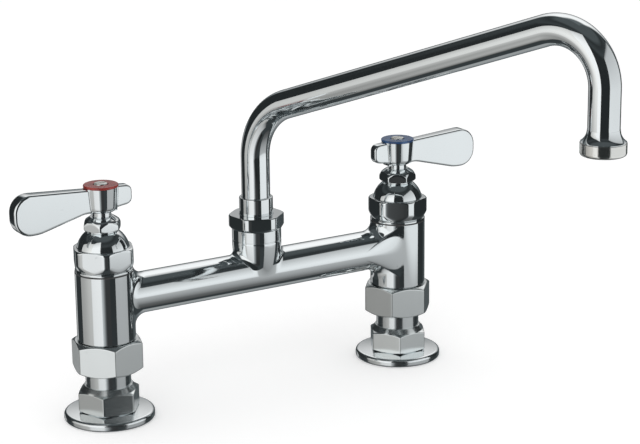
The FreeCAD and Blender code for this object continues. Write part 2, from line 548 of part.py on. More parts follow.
def handle_screw(side, axis):
    """Slotted oval-head screw through the hub into the stem."""
    body = new_body(f"{side}_handle_screw", axis)
    head_top = f"{HUB_TOP} + handle_screw_head_height"
    base = turned(body, (
        ("0", f"{HUB_TOP} - handle_screw_length"), ("handle_screw_od / 2", f"{HUB_TOP} - handle_screw_length"),
        ("handle_screw_od / 2", HUB_TOP), ("handle_screw_head_od / 2", HUB_TOP),
        ("handle_screw_head_od / 2", head_top), ("0", head_top)))
    dressed(body, base, "Fillet", "handle_screw_head_height / 3", ring_edge("handle_screw_head_od", head_top))
    sketch = new_sketch(body, "XY", f"{head_top} - handle_screw_slot_depth")
    across = "handle_screw_head_od"
    half = "handle_screw_slot / 2"
    add_loop(sketch, ((across, half), (f"-{across}", half), (f"-{across}", f"-{half}"), (across, f"-{half}")))
    prism(body, sketch, "handle_screw_slot_depth + 1", "PartDesign::Pocket", reverse=True)


def bridge_body():
    """Bridge casting: two columns, the bar that joins them and the spout's boss, all bored through."""
    body = new_body("bridge_body")
    places = ("-centre_distance / 2", "centre_distance / 2")
    sketch = new_sketch(body, "XY", COLUMN_BOTTOM)
    for across in places:
        add_circle(sketch, "column_od", across)
    prism(body, sketch, "column_height + 2 * bar_fillet")
    sketch = new_sketch(body, "YZ")
    add_circle(sketch, "bar_od", "0", BAR_AXIS)
    prism(body, sketch, "centre_distance", midplane=True)
    groove_bottom = f"{BAR_AXIS} + boss_groove_height"
    base = turned(body, (
        ("0", BAR_AXIS), ("boss_root_od / 2", BAR_AXIS, "boss_curve"), ("boss_od / 2", groove_bottom),
        ("boss_od / 2", BOSS_SHOULDER), ("0", BOSS_SHOULDER)))
    columns_from = value("centre_distance") / 4
    base = dressed(body, base, "Fillet", "bar_fillet",
                   lambda edge: saddle_edge(edge) and abs(edge.CenterOfMass.x) > columns_from)
    base = dressed(body, base, "Fillet", "boss_fillet",
                   lambda edge: saddle_edge(edge) and abs(edge.CenterOfMass.x) < columns_from)
    sketch = new_sketch(body, "XY", COLUMN_TOP)
    for across in places:
        add_circle(sketch, "column_od + 8 * bar_fillet", across)
    prism(body, sketch, "3 * bar_fillet", "PartDesign::Pocket", reverse=True)
    sketch = new_sketch(body, "XY", SPIGOT_BOTTOM)
    for across in places:
        add_circle(sketch, "spigot_od", across)
    prism(body, sketch, f"{COLUMN_BOTTOM} - {SPIGOT_BOTTOM} + 1")
    sketch = new_sketch(body, "XY", BOSS_SHOULDER)
    add_circle(sketch, "boss_thread_od")
    prism(body, sketch, "boss_thread_length")
    sketch = new_sketch(body, "XY", groove_bottom)
    add_circle(sketch, "boss_od + 2 * bar_fillet")
    add_circle(sketch, "boss_od - 2 * boss_groove_depth")
    prism(body, sketch, "boss_groove_width", "PartDesign::Pocket", reverse=True)
    sketch = new_sketch(body, "YZ")
    add_circle(sketch, "bar_bore", "0", BAR_AXIS)
    prism(body, sketch, "centre_distance", "PartDesign::Pocket", midplane=True)
    for across in places:
        bored(body, "inlet_passage", SPIGOT_BOTTOM, f"{WEB_TOP} - seat_web_thickness", across)
        bored(body, "seat_thread_od", f"{WEB_TOP} - seat_web_thickness", WEB_TOP, across)
        bored(body, "chamber_bore", WEB_TOP, COLUMN_TOP, across)
    bored(body, "boss_counterbore", BEARING_BOTTOM, BOSS_TOP)
    bored(body, "spindle_bore", f"{BOSS_TOP} - spindle_bore_depth", BEARING_BOTTOM)
    bored(body, "boss_passage", BAR_AXIS, f"{BOSS_TOP} - spindle_bore_depth")


def saddle_edge(edge):
    """A test for the curved edges where one cylinder of the casting runs into another."""
    return not isinstance(edge.Curve, (Part.Circle, Part.Line))


def spout_nut():
    """Spout nut: holds the collar's flange down in the boss, with its flats milled on a round blank."""
    body = new_body("spout_nut", "0", "spout_nut_turn")
    collar_hole = "collar_od / 2 + face_gap"
    thread_bore = "boss_thread_od / 2 + thread_gap"
    lip_bottom = f"{FLANGE_TOP} + face_gap"
    top_edge = "spout_nut_od / 2 - 0.7"
    turned(body, (
        (thread_bore, BOSS_SHOULDER), (f"{SPOUT_NUT_FLATS} / 2", BOSS_SHOULDER),
        ("spout_nut_od / 2", f"{BOSS_SHOULDER} + 1.6"), ("spout_nut_od / 2", f"{SPOUT_NUT_TOP} - 0.5"),
        (top_edge, SPOUT_NUT_TOP), (collar_hole, SPOUT_NUT_TOP), (collar_hole, lip_bottom),
        (thread_bore, lip_bottom)))
    milled_flats(body, "spout_nut_od", SPOUT_NUT_FLATS, BOSS_SHOULDER, "spout_nut_height")


def spout_collar():
    """Spout collar: brazed on the tube, with a flange under the nut and a sealed spindle in the boss."""
    body = new_body("spout_collar")
    spindle_bottom = f"{FLANGE_BOTTOM} - spindle_length"
    spindle = "spindle_bore / 2 - running_gap"
    socket = "tube_od / 2 + thread_gap"
    groove = f"{spindle} - ring_groove_depth"
    corners = [("spindle_passage / 2", spindle_bottom), (spindle, spindle_bottom)]
    for turn in (1, 0):
        groove_top = f"{FLANGE_BOTTOM} - ring_first_depth - {turn} * ring_pitch"
        groove_bottom = f"{groove_top} - ring_groove_width"
        corners += [(spindle, groove_bottom), (groove, groove_bottom), (groove, groove_top), (spindle, groove_top)]
    corners += [
        (spindle, FLANGE_BOTTOM), ("collar_flange_od / 2", FLANGE_BOTTOM), ("collar_flange_od / 2", FLANGE_TOP),
        ("collar_od / 2", FLANGE_TOP), ("collar_od / 2", f"{COLLAR_TOP} - 0.5"),
        ("collar_od / 2 - 0.5", COLLAR_TOP), (socket, COLLAR_TOP), (socket, TUBE_BOTTOM),
        ("spindle_passage / 2", TUBE_BOTTOM)]
    turned(body, corners)


def spout_rings():
    """Two rubber rings in the spindle's grooves, as one group of separate solids."""
    rings = []
    for turn in (0, 1):
        ring = doc.addObject("Part::Torus", f"spout_ring_{turn}")
        ring.setExpression("Radius2", cell("ring_section / 2 - running_gap"))
        ring.setExpression("Radius1", cell("spindle_bore / 2 - ring_section / 2"))
        middle = f"{FLANGE_BOTTOM} - ring_first_depth - {turn} * ring_pitch - ring_groove_width / 2"
        ring.setExpression("Placement.Base.z", cell(middle))
        rings.append(ring)
    group = doc.addObject("Part::Compound", "spout_o_rings")
    group.Links = rings
    group.Label = "spout_o_rings"


def spout_path(body, start):
    """The tube's centre line: riser, first bend, gentle slope, second bend and outlet leg."""
    slope = value("spout_slope")
    climb = radians(90 + slope)
    first_radius = value("rise_radius")
    last_radius = value("outlet_radius")
    reach = value("spout_reach")
    up = Vector(0, 0, 1)
    radial = Vector(1, 0, 0)
    first_centre = Vector(first_radius, value(RISER_TOP), 0)
    direction = FreeCAD.Rotation(up, slope).multVec(radial)
    normal = FreeCAD.Rotation(up, 90).multVec(direction)
    slope_start = first_centre + normal * first_radius
    last_x = reach - last_radius
    along = (last_x - (slope_start + (-normal) * last_radius).x) / direction.x
    slope_end = slope_start + direction * along
    last_centre = slope_end - normal * last_radius
    leg_top = last_centre + radial * last_radius
    sketch = new_sketch(body, "XZ")
    riser = sketch.addGeometry(Part.LineSegment(Vector(0, value(start), 0), Vector(0, value(RISER_TOP), 0)))
    bend = sketch.addGeometry(Part.ArcOfCircle(Part.Circle(first_centre, up, first_radius), climb, radians(180)))
    run = sketch.addGeometry(Part.LineSegment(slope_start, slope_end))
    crook = sketch.addGeometry(Part.ArcOfCircle(Part.Circle(last_centre, up, last_radius), 0, climb))
    leg = sketch.addGeometry(Part.LineSegment(leg_top, Vector(reach, value(OUTLET_END), 0)))
    for constraint in (("Tangent", riser, 2, bend, 2), ("Tangent", run, 1, bend, 1), ("Tangent", run, 2, crook, 2),
                       ("Tangent", leg, 1, crook, 1), ("PointOnObject", riser, 1, -2), ("Vertical", riser),
                       ("Vertical", leg)):
        sketch.addConstraint(Sketcher.Constraint(*constraint))
    bound(sketch, Sketcher.Constraint("DistanceY", -1, 1, riser, 1, value(start)), start)
    bound(sketch, Sketcher.Constraint("DistanceY", -1, 1, riser, 2, value(RISER_TOP)), RISER_TOP)
    bound(sketch, Sketcher.Constraint("Radius", bend, first_radius), "rise_radius")
    bound(sketch, Sketcher.Constraint("Radius", crook, last_radius), "outlet_radius")
    bound(sketch, Sketcher.Constraint("DistanceX", -1, 1, leg, 2, reach), "spout_reach")
    bound(sketch, Sketcher.Constraint("DistanceY", leg, 2, leg, 1, value("outlet_drop")), "outlet_drop")
    index = sketch.addConstraint(Sketcher.Constraint("Angle", run, radians(slope)))
    sketch.setExpression(f"Constraints[{index}]", cell("spout_slope") + " * 1 deg")
    doc.recompute()
    return sketch


def spout_tube():
    """Spout tube: one bent thin-walled tube."""
    body = new_body("spout_tube", "0", "spout_turn")
    path = spout_path(body, f"{TUBE_BOTTOM} + face_gap")
    ring = new_sketch(body, "XY", f"{TUBE_BOTTOM} + face_gap")
    add_circle(ring, "tube_od")
    add_circle(ring, "tube_od - 2 * tube_wall")
    pipe = body.newObject("PartDesign::AdditivePipe", "spout_tube_pipe")
    pipe.Profile = ring
    pipe.Spine = path
    doc.recompute()


def outlet_body(name):
    """A body for one of the turned pieces round the outlet's axis."""
    return new_body(name, "spout_reach * cos(spout_turn)", "0", "spout_reach * sin(spout_turn)")


def outlet_group():
    """Outlet fitting brazed on the tube's end, and the aerator's housing, perforated insert and washer."""
    flare = "(outlet_flare_od - outlet_top_od)"
    flare_radius = f"(outlet_flare_height * outlet_flare_height / {flare} + {flare} / 4)"
    socket = "tube_od / 2 + thread_gap"
    turned(outlet_body("outlet_fitting"), (
        ("outlet_bore / 2", OUTLET_BOTTOM), ("outlet_thread_od / 2", OUTLET_BOTTOM),
        ("outlet_thread_od / 2", OUTLET_SHOULDER), ("outlet_flare_od / 2", OUTLET_SHOULDER),
        ("outlet_flare_od / 2", FLARE_BOTTOM, "-" + flare_radius), ("outlet_top_od / 2", FLARE_TOP),
        (socket, FLARE_TOP), (socket, f"{OUTLET_END} - face_gap"),
        ("outlet_bore / 2", f"{OUTLET_END} - face_gap")))
    thread_bore = "outlet_thread_od / 2 + thread_gap"
    floor = f"{AERATOR_BOTTOM} + aerator_lip"
    turned(outlet_body("aerator_housing"), (
        ("aerator_mouth / 2", AERATOR_BOTTOM),
        ("aerator_od / 2 - aerator_rounding", AERATOR_BOTTOM, "aerator_rounding"),
        ("aerator_od / 2", f"{AERATOR_BOTTOM} + aerator_rounding"), ("aerator_od / 2", f"{AERATOR_TOP} - 0.3"),
        ("aerator_od / 2 - 0.3", AERATOR_TOP), (thread_bore, AERATOR_TOP), (thread_bore, floor),
        ("aerator_mouth / 2", floor)))
    body = outlet_body("aerator_insert")
    insert_top = f"{INSERT_BOTTOM} + insert_height"
    turned(body, (("0", INSERT_BOTTOM), ("insert_od / 2", INSERT_BOTTOM), ("insert_od / 2", insert_top),
                  ("0", insert_top)))
    sketch = new_sketch(body, "XY", INSERT_BOTTOM)
    add_circle(sketch, "screen_hole", "screen_ring / 2")
    hole = prism(body, sketch, "insert_height", "PartDesign::Pocket", reverse=True)
    bored(body, "screen_hole", INSERT_BOTTOM, insert_top)
    ring = body.newObject("PartDesign::PolarPattern", "aerator_insert_holes")
    ring.Originals = [hole]
    ring.Axis = ([item for item in body.Origin.OriginFeatures if item.Role == "Z_Axis"][0], [""])
    ring.Angle = 360
    ring.setExpression("Occurrences", cell("screen_holes"))
    body.Tip = ring
    doc.recompute()
    turned(outlet_body("aerator_washer"), (
        ("outlet_bore / 2", insert_top), ("insert_od / 2", insert_top),
        ("insert_od / 2", f"{insert_top} + aerator_washer_height"),
        ("outlet_bore / 2", f"{insert_top} + aerator_washer_height")))


bridge_body()
for side, axis, turn in (("hot", "-centre_distance / 2", "180"), ("cold", "centre_distance / 2", "0")):
    inlet(side, axis)
    tailpiece(side, axis)
    coupling_nut(side, axis)
    washer(f"{side}_coupling_washer", axis, "nipple_bore", "nipple_collar_od", NIPPLE_TOP,
           "coupling_washer_thickness")
    valve_seat(side, axis)
    washer_group(side, axis)
    washer(f"{side}_bonnet_washer", axis, "chamber_bore", BEAD_OD, COLUMN_TOP, "bonnet_washer_thickness")
    bonnet(side, axis)
    packing_group(side, axis)
    stem(side, axis)
    lever_handle(side, axis, turn)
    index_ring(side, axis)
    handle_screw(side, axis)
spout_nut()
washer("spout_bearing_washer", "0", "(spindle_bore + 2 * joint_gap)", "(boss_counterbore - 2 * joint_gap)",
       BEARING_BOTTOM, "bearing_thickness")
spout_collar()
spout_rings()
spout_tube()
outlet_group()

doc.recompute()
pieces = [item for item in doc.Objects if item.TypeId == "PartDesign::Body"]
pieces.append(doc.getObject("spout_o_rings"))
for item in doc.Objects:
    if "Invalid" in item.State or "Error" in item.State:
        raise RuntimeError(f"{item.Name} failed")
os.makedirs("parts", exist_ok=True)
for piece in pieces:
    if piece.Shape.isNull() or not piece.Shape.isValid() or not piece.Shape.Solids:
        raise RuntimeError(f"{piece.Label} has no valid solid")
    piece.Shape.exportStep(f"parts/{piece.Label}.step")
    print(f"{piece.Label}: {len(piece.Shape.Solids)} solid, {piece.Shape.Volume:.1f} mm3")
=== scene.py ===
import json
import math

import bmesh
import bpy
import numpy as np
from mathutils import Matrix, Vector


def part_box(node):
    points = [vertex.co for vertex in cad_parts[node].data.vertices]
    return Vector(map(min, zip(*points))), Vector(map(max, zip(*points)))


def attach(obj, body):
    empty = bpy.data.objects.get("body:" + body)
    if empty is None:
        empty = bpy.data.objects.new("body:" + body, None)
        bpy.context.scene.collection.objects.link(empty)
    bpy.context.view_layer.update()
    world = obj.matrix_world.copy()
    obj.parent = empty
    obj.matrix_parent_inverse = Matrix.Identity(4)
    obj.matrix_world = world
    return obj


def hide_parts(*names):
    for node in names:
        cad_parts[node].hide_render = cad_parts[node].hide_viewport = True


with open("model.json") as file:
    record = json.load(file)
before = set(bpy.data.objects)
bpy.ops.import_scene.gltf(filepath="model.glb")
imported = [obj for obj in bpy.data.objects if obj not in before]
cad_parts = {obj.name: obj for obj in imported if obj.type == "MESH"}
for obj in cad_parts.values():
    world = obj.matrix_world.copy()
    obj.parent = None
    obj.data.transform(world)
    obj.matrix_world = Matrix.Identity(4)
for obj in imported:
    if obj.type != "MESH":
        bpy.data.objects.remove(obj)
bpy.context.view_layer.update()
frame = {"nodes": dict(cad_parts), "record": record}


# Flanged inlets: each is turned and milled from a brass bar. A round buffed flange lies on the deck, and
# a satin hexagon with a conical top stands on it. A female pipe thread opens downwards.

mm = 0.001
valve_sides = ("hot", "cold")
inlet_turns = {"hot": 54, "cold": 2}
edge_softness = 0.2 * mm


def axis_of(node):
    """Where a node's upright axis stands: the middle of its box, in x and y."""
    low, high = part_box(node)
    return np.array([(low.x + high.x) / 2, (low.y + high.y) / 2, 0.0])


def heights(node):
    """The lowest and the highest level of a node."""
    low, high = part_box(node)
    return low.z, high.z


def rounded(corners, closed=True):
    """Points of an outline with rounded corners, each corner given as (across, up, radius).

    An arc touches both sides of its corner at radius / tan(half the angle between them) from it, and is
    stepped evenly from one touching point to the other. A point just behind each end of the arc keeps
    the flat beside it flat in the shading.
    """
    spots = np.array([corner[:2] for corner in corners], float)
    outline = []
    for number, (spot, corner) in enumerate(zip(spots, corners)):
        ends = not closed and number in (0, len(corners) - 1)
        back = spots[number - 1] - spot
        ahead = spots[(number + 1) % len(spots)] - spot
        back = back / np.linalg.norm(back)
        ahead = ahead / np.linalg.norm(ahead)
        half = np.arccos(np.clip(back @ ahead, -1, 1)) / 2
        if ends or corner[2] == 0 or half > 1.55:
            outline.append(spot[None])
            continue
        radius = corner[2]
        cut = radius / np.tan(half)
        centre = spot + (back + ahead) / np.linalg.norm(back + ahead) * radius / np.sin(half)
        swing = np.pi - 2 * half
        steps = int(np.ceil(swing / (np.pi / 2) * (4 + radius / mm)))
        share = np.linspace(0, 1, steps + 1)[:, None]
        first = spot + back * cut - centre
        last = spot + ahead * cut - centre
        arc = centre + (np.sin((1 - share) * swing) * first + np.sin(share * swing) * last) / np.sin(swing)
        behind = min(0.1 * mm, cut)
        outline.append(np.vstack([spot + back * (cut + behind), arc, spot + ahead * (cut + behind)]))
    return np.vstack(outline)


def stepped(outline, step):
    """The same closed outline with further points along its sides, no more than a step apart."""
    loop = np.vstack([outline, outline[:1]])
    along = np.concatenate([[0], np.cumsum(np.linalg.norm(np.diff(loop, axis=0), axis=1))])
    every = np.arange(0, along[-1], step)
    places = np.unique(np.concatenate([along[:-1], every]).round(9))
    return np.column_stack([np.interp(places, along, loop[:, 0]), np.interp(places, along, loop[:, 1])])


def least(first, second, softness):
    """A smooth minimum: -softness * log(exp(-first / softness) + exp(-second / softness))."""
    return -softness * np.logaddexp(-first / softness, -second / softness)


def turned(outline, axis, flats=None, turn=0, columns=192):
    """Grid of points of an outline (radius, height) carried round an upright axis.

    With flats, the radius is softly kept under that of a hexagon of that width across flats, which at
    an angle from the middle of its side is flats / 2 / cos(angle). The columns then crowd at its corners.
    """
    if flats is None:
        angles = np.linspace(0, 2 * np.pi, columns, endpoint=False)
    else:
        each = np.sin(np.linspace(-np.pi / 2, np.pi / 2, columns // 6, endpoint=False)) * np.pi / 6
        angles = (each[None] + np.arange(6)[:, None] * np.pi / 3).ravel()
    radius = np.repeat(outline[:, :1], len(angles), axis=1)
    if flats is not None:
        for side in np.arange(6) * np.pi / 3:
            facing = np.cos(angles - side)
            reach = np.where(facing > 0.3, flats / 2 / np.maximum(facing, 0.3), 1.0)
            radius = least(radius, np.broadcast_to(reach, radius.shape), edge_softness)
        radius = np.where(outline[:, :1] < flats / 2 - 2 * mm, outline[:, :1], radius)
        angles = angles + math.radians(turn + 30)
    height = np.broadcast_to(outline[:, 1:], radius.shape)
    return np.stack([radius * np.cos(angles), radius * np.sin(angles), height], axis=-1) + axis


def wrapped(grid, round_rows=True):
    """The faces of a grid of points whose columns, and as a rule rows, close on themselves."""
    rows, columns = grid.shape[:2]
    number = np.arange(rows * columns).reshape(rows, columns)
    below = np.roll(number, -1, axis=0)
    faces = np.stack([number, below, np.roll(below, -1, axis=1), np.roll(number, -1, axis=1)], axis=-1)
    return (faces if round_rows else faces[:-1]).reshape(-1, 4)


def sheeted(grid):
    """The faces of a grid of points that is open on all four sides."""
    rows, columns = grid.shape[:2]
    number = np.arange(rows * columns).reshape(rows, columns)
    faces = np.stack([number[:-1, :-1], number[1:, :-1], number[1:, 1:], number[:-1, 1:]], axis=-1)
    return faces.reshape(-1, 4)


def made(name, parts, body, material, replaced):
    """Make one piece of (grid, faces) parts, close its seams, finish it and seat it on its body."""
    points = np.vstack([grid.reshape(-1, 3) for grid, faces in parts])
    starts = np.cumsum([0] + [grid.size // 3 for grid, faces in parts])
    faces = [face for start, (grid, part_faces) in zip(starts, parts)
             for face in (part_faces + start).tolist()]
    mesh = bpy.data.meshes.new(name)
    mesh.from_pydata(points.tolist(), [], faces)
    work = bmesh.new()
    work.from_mesh(mesh)
    bmesh.ops.remove_doubles(work, verts=work.verts, dist=0.0005 * mm)
    bmesh.ops.dissolve_degenerate(work, edges=work.edges, dist=0.0001 * mm)
    bmesh.ops.recalc_face_normals(work, faces=work.faces)
    work.to_mesh(mesh)
    work.free()
    mesh.shade_smooth()
    mesh.set_sharp_from_angle(angle=math.radians(38))
    mesh.materials.append(material)
    piece = bpy.data.objects.new(name, mesh)
    bpy.context.scene.collection.objects.link(piece)
    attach(piece, body)
    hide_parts(replaced)
    return piece


class Wire:
    """One output of a shader node. Arithmetic on wires adds Math nodes, and node() adds any other."""

    def __init__(self, socket):
        self.socket = socket

    def node(self, kind, settings, feeds, output=0):
        """Add a node to the same tree, fed by socket name or number, and wire one of its outputs."""
        return Wire(added(self.socket.id_data, kind, settings, feeds).outputs[output])

    def math(self, operation, *others):
        """Add a Math node on this wire and others, which may be plain numbers."""
        return self.node("ShaderNodeMath", {"operation": operation}, dict(enumerate((self, *others))))

    def __add__(self, other):
        return self.math("ADD", other)

    def __mul__(self, other):
        return self.math("MULTIPLY", other)

    def __sub__(self, other):
        return self.math("SUBTRACT", other)

    def __rsub__(self, other):
        return (self * -1) + other

    def __truediv__(self, other):
        return self.math("DIVIDE", other)

    def eased(self, low, high):
        """Rise smoothly from 0 to 1 as this wire goes from low to high."""
        return self.node("ShaderNodeMapRange", {"interpolation_type": "SMOOTHSTEP"},
                         {"Value": self, "From Min": low, "From Max": high})

    def ramp(self, *stops):
        """Colours or greys along this wire, each stop given as (place from 0 to 1, colour)."""
        return self.node("ShaderNodeValToRGB", {"stops": stops}, {"Fac": self})


def added(tree, kind, settings, feeds):
    """Add a node to a tree, with its settings made before its sockets are fed."""
    node = tree.nodes.new(kind)
    for setting, choice in settings.items():
        if setting == "stops":
            band = node.color_ramp.elements
            while len(band) < len(choice):
                band.new(0.5)
            for stop, (place, colour) in zip(band, choice):
                stop.position = place
                stop.color = (*colour, 1) if isinstance(colour, tuple) else (colour, colour, colour, 1)
        else:
            setattr(node, setting, choice)
    for socket, feed in feeds.items():
        if isinstance(feed, Wire):
            tree.links.new(feed.socket, node.inputs[socket])
        else:
            node.inputs[socket].default_value = feed
    return node


def surface(name):
    """A new material. Gives it with its Principled shader and the wire of its object coordinates."""
    material = bpy.data.materials.new(name)
    material.use_nodes = True
    tree = material.node_tree
    shader = tree.nodes["Principled BSDF"]
    place = Wire(added(tree, "ShaderNodeTexCoord", {}, {}).outputs["Object"])
    return material, shader, place


def feed(shader, **feeds):
    """Set or wire the sockets of a shader: words with _ for spaces, numbers and colours as they are."""
    for name, value in feeds.items():
        socket = shader.inputs[name.replace("_", " ")]
        if isinstance(value, Wire):
            socket.id_data.links.new(value.socket, socket)
        else:
            socket.default_value = value


def mottled(place, scale, detail=2.0, stretch=(1, 1, 1)):
    """Noise on the piece's own coordinates, with scale in bumps per metre."""
    spread = place.node("ShaderNodeMapping", {}, {"Vector": place, "Scale": stretch})
    return spread.node("ShaderNodeTexNoise", {}, {"Vector": spread, "Scale": scale, "Detail": detail})


def mixed(amount, first, second):
    """A colour that goes from the first to the second by amount."""
    return amount.node("ShaderNodeMix", {"data_type": "RGBA"}, {0: amount, 6: first, 7: second}, output=2)


def bumped(height, distance, strength=1.0):
    """A normal from a height between 0 and 1 that stands for a distance in metres."""
    return height.node("ShaderNodeBump", {}, {"Height": height, "Distance": distance, "Strength": strength})


def satin_plate(name, colour, grain, dullness):
    """Satin chrome plate: fine grain left by the belt, cloudy gloss and faint darker handling marks."""
    material, shader, place = surface(name)
    lines = mottled(place, 900, 3, grain)
    clouds = mottled(place, 60)
    marks = mottled(place, 340, 4).eased(0.66, 0.8)
    handled = (0.42, 0.45, 0.46, 1)
    feed(shader, Base_Color=mixed(marks * 0.22 + clouds * 0.12, colour, handled), Metallic=1.0,
         Roughness=lines * 0.05 + clouds * 0.06 + dullness, Normal=bumped(lines, 0.004 * mm))
    return material


satin_chrome = satin_plate("satin chrome", (0.87, 0.9, 0.9, 1), (1, 1, 14), 0.13)


def polished_plate(name, colour, gloss):
    """Chrome plate over buffed brass: wide shallow buffing waves, hairlines and water-dulled spots."""
    material, shader, place = surface(name)
    waves = mottled(place, 45, 1)
    hairs = mottled(place, 2400, 2, (1, 1, 0.08))
    spots = mottled(place, 210, 5).eased(0.68, 0.8)
    dulled = (0.62, 0.67, 0.69, 1)
    feed(shader, Base_Color=mixed(spots * 0.25 + waves * 0.1, colour, dulled), Metallic=1.0,
         Roughness=waves * 0.03 + hairs * 0.02 + spots * 0.08 + gloss,
         Normal=bumped(waves, 0.05 * mm, 0.6))
    return material


polished_chrome = polished_plate("polished chrome", (0.91, 0.94, 0.95, 1), 0.03)
buffed_chrome = polished_plate("buffed chrome", (0.88, 0.91, 0.92, 1), 0.13)

for side in valve_sides:
    node = side + "_flanged_inlet"
    low, high = heights(node)
    bore = 9.8 * mm
    flange_radius = 26.7 * mm
    flange_top = low + 4.8 * mm
    crown = low + 5.7 * mm
    neck = 15.8 * mm
    hexagon_low = low + 6.1 * mm
    inside_hexagon = hexagon_low + 0.3 * mm
    flats = 32.8 * mm
    foot_radius = 17.6 * mm
    past_corner = 20.5 * mm
    cone_low = high - 4.8 * mm
    shoulder = 16.4 * mm
    shoulder_level = high - 2.95 * mm
    top_radius = 14.1 * mm
    socket_radius = 13.4 * mm
    socket_floor = low + 12 * mm
    flange = rounded((
        (bore, low, 0), (flange_radius, low, 1.4 * mm), (flange_radius, flange_top, 2 * mm),
        (neck, crown, 0.2 * mm), (neck, inside_hexagon, 0), (bore, inside_hexagon, 0)))
    hexagon = stepped(rounded((
        (bore, hexagon_low, 0), (foot_radius, hexagon_low, 0.3 * mm),
        (past_corner, hexagon_low + 1 * mm, 0), (past_corner, cone_low, 0),
        (shoulder, shoulder_level, 1.2 * mm), (top_radius, high, 0.4 * mm),
        (socket_radius, high, 0.2 * mm), (socket_radius, socket_floor, 0), (bore, socket_floor, 0))),
        0.35 * mm)
    disc = turned(flange, axis_of(node))
    prism = turned(hexagon, axis_of(node), flats, inlet_turns[side], 288)
    piece = made(node + "_turned", [(disc, wrapped(disc)), (prism, wrapped(prism))], "bridge",
                 satin_chrome, node)
    piece.data.materials.append(buffed_chrome)
    for face in piece.data.polygons:
        if face.center.z < hexagon_low:
            face.material_index = 1


# Tailpieces: short buffed nipples screwed into the inlets. Inside the coupling nut each ends in a
# collar, which the nut's lip draws up against a washer under the column.

for side in valve_sides:
    node = side + "_tailpiece"
    low, high = heights(node)
    bore = 9.5 * mm
    radius = 13.35 * mm
    collar = 14.9 * mm
    collar_low = high - 2.6 * mm
    outline = rounded((
        (bore, low, 0.2 * mm), (radius, low, 0.5 * mm), (radius, collar_low, 0),
        (collar, collar_low, 0.2 * mm), (collar, high, 0.2 * mm), (bore, high, 0.2 * mm)))
    tube = turned(outline, axis_of(node))
    made(node + "_turned", [(tube, wrapped(tube))], "bridge", buffed_chrome, node)


# Coupling nuts: large satin hexagons, chamfered at both ends to a face a little under the flats, with
# an inner lip that catches the tailpiece's collar and a thread on the column's spigot.

coupling_turns = {"hot": 17, "cold": 47}
coupling_flats = 37.7 * mm

for side in valve_sides:
    node = side + "_coupling_nut"
    low, high = heights(node)
    lip = 13.5 * mm
    lip_top = low + 3 * mm
    thread = 15.25 * mm
    corner = coupling_flats / math.sqrt(3)
    past_corner = corner + 1 * mm
    face = coupling_flats * 0.49
    chamfer = (corner - face) / math.sqrt(3) + 0.58 * mm
    outline = stepped(rounded((
        (lip, low, 0.2 * mm), (face, low, 0.25 * mm), (past_corner, low + chamfer, 0),
        (past_corner, high - chamfer, 0), (face, high, 0.25 * mm), (thread, high, 0.2 * mm),
        (thread, lip_top, 0), (lip, lip_top, 0))), 0.3 * mm)
    nut = turned(outline, axis_of(node), coupling_flats, coupling_turns[side], 288)
    made(node + "_milled", [(nut, wrapped(nut))], "bridge", satin_chrome, node)


# Bridge casting: one polished brass casting. Two upright columns take the valves, a round bar joins
# them and carries the water, and a tapered boss in its middle takes the spout. Fillets join them all.

column_radius = 17.1 * mm
bar_radius = 12.15 * mm
bar_fillet = 8 * mm
boss_radius = 14.85 * mm
boss_root = 11.9 * mm
boss_curve = 70 * mm
boss_fillet = 3.4 * mm
front_blend = 22 * mm
front_flare = 80 * mm
column_x = axis_of("cold_bonnet")[0]
casting_low, casting_top = heights("bridge_body")
column_low = heights("hot_coupling_nut")[1] + 0.3 * mm
column_top = column_low + 40.7 * mm
bar_level = column_low + 23.9 * mm
boss_top = bar_level + 27.6 * mm
groove_level = bar_level + 20 * mm
groove_width = 0.8 * mm
groove_depth = 0.4 * mm
spindle_bore = 9.1 * mm
spindle_floor = casting_top - 20.4 * mm
washer_seat = 12.2 * mm
washer_level = casting_top - 2.3 * mm
spout_thread = 13.4 * mm
foot_rounding = 0.4 * mm
spigot_radius = 15.2 * mm
inlet_bore = 10.5 * mm
seat_bore = 8 * mm
seat_low = column_low + 5.2 * mm
chamber_bore = 13 * mm
chamber_floor = column_low + 9.8 * mm
parts_meet = 30 * mm
turn_samples = 384
around = np.linspace(-np.pi, np.pi, turn_samples + 1)


def arc_between(centre, first, last, radius, share):
    """Points of the shorter arc about a centre, from unit direction first to last, by share of the way."""
    swing = np.arccos(np.clip(np.sum(first * last, axis=-1), -1, 1))[..., None]
    way = (np.sin((1 - share) * swing) * first + np.sin(share * swing) * last) / np.sin(swing)
    return centre + radius * way


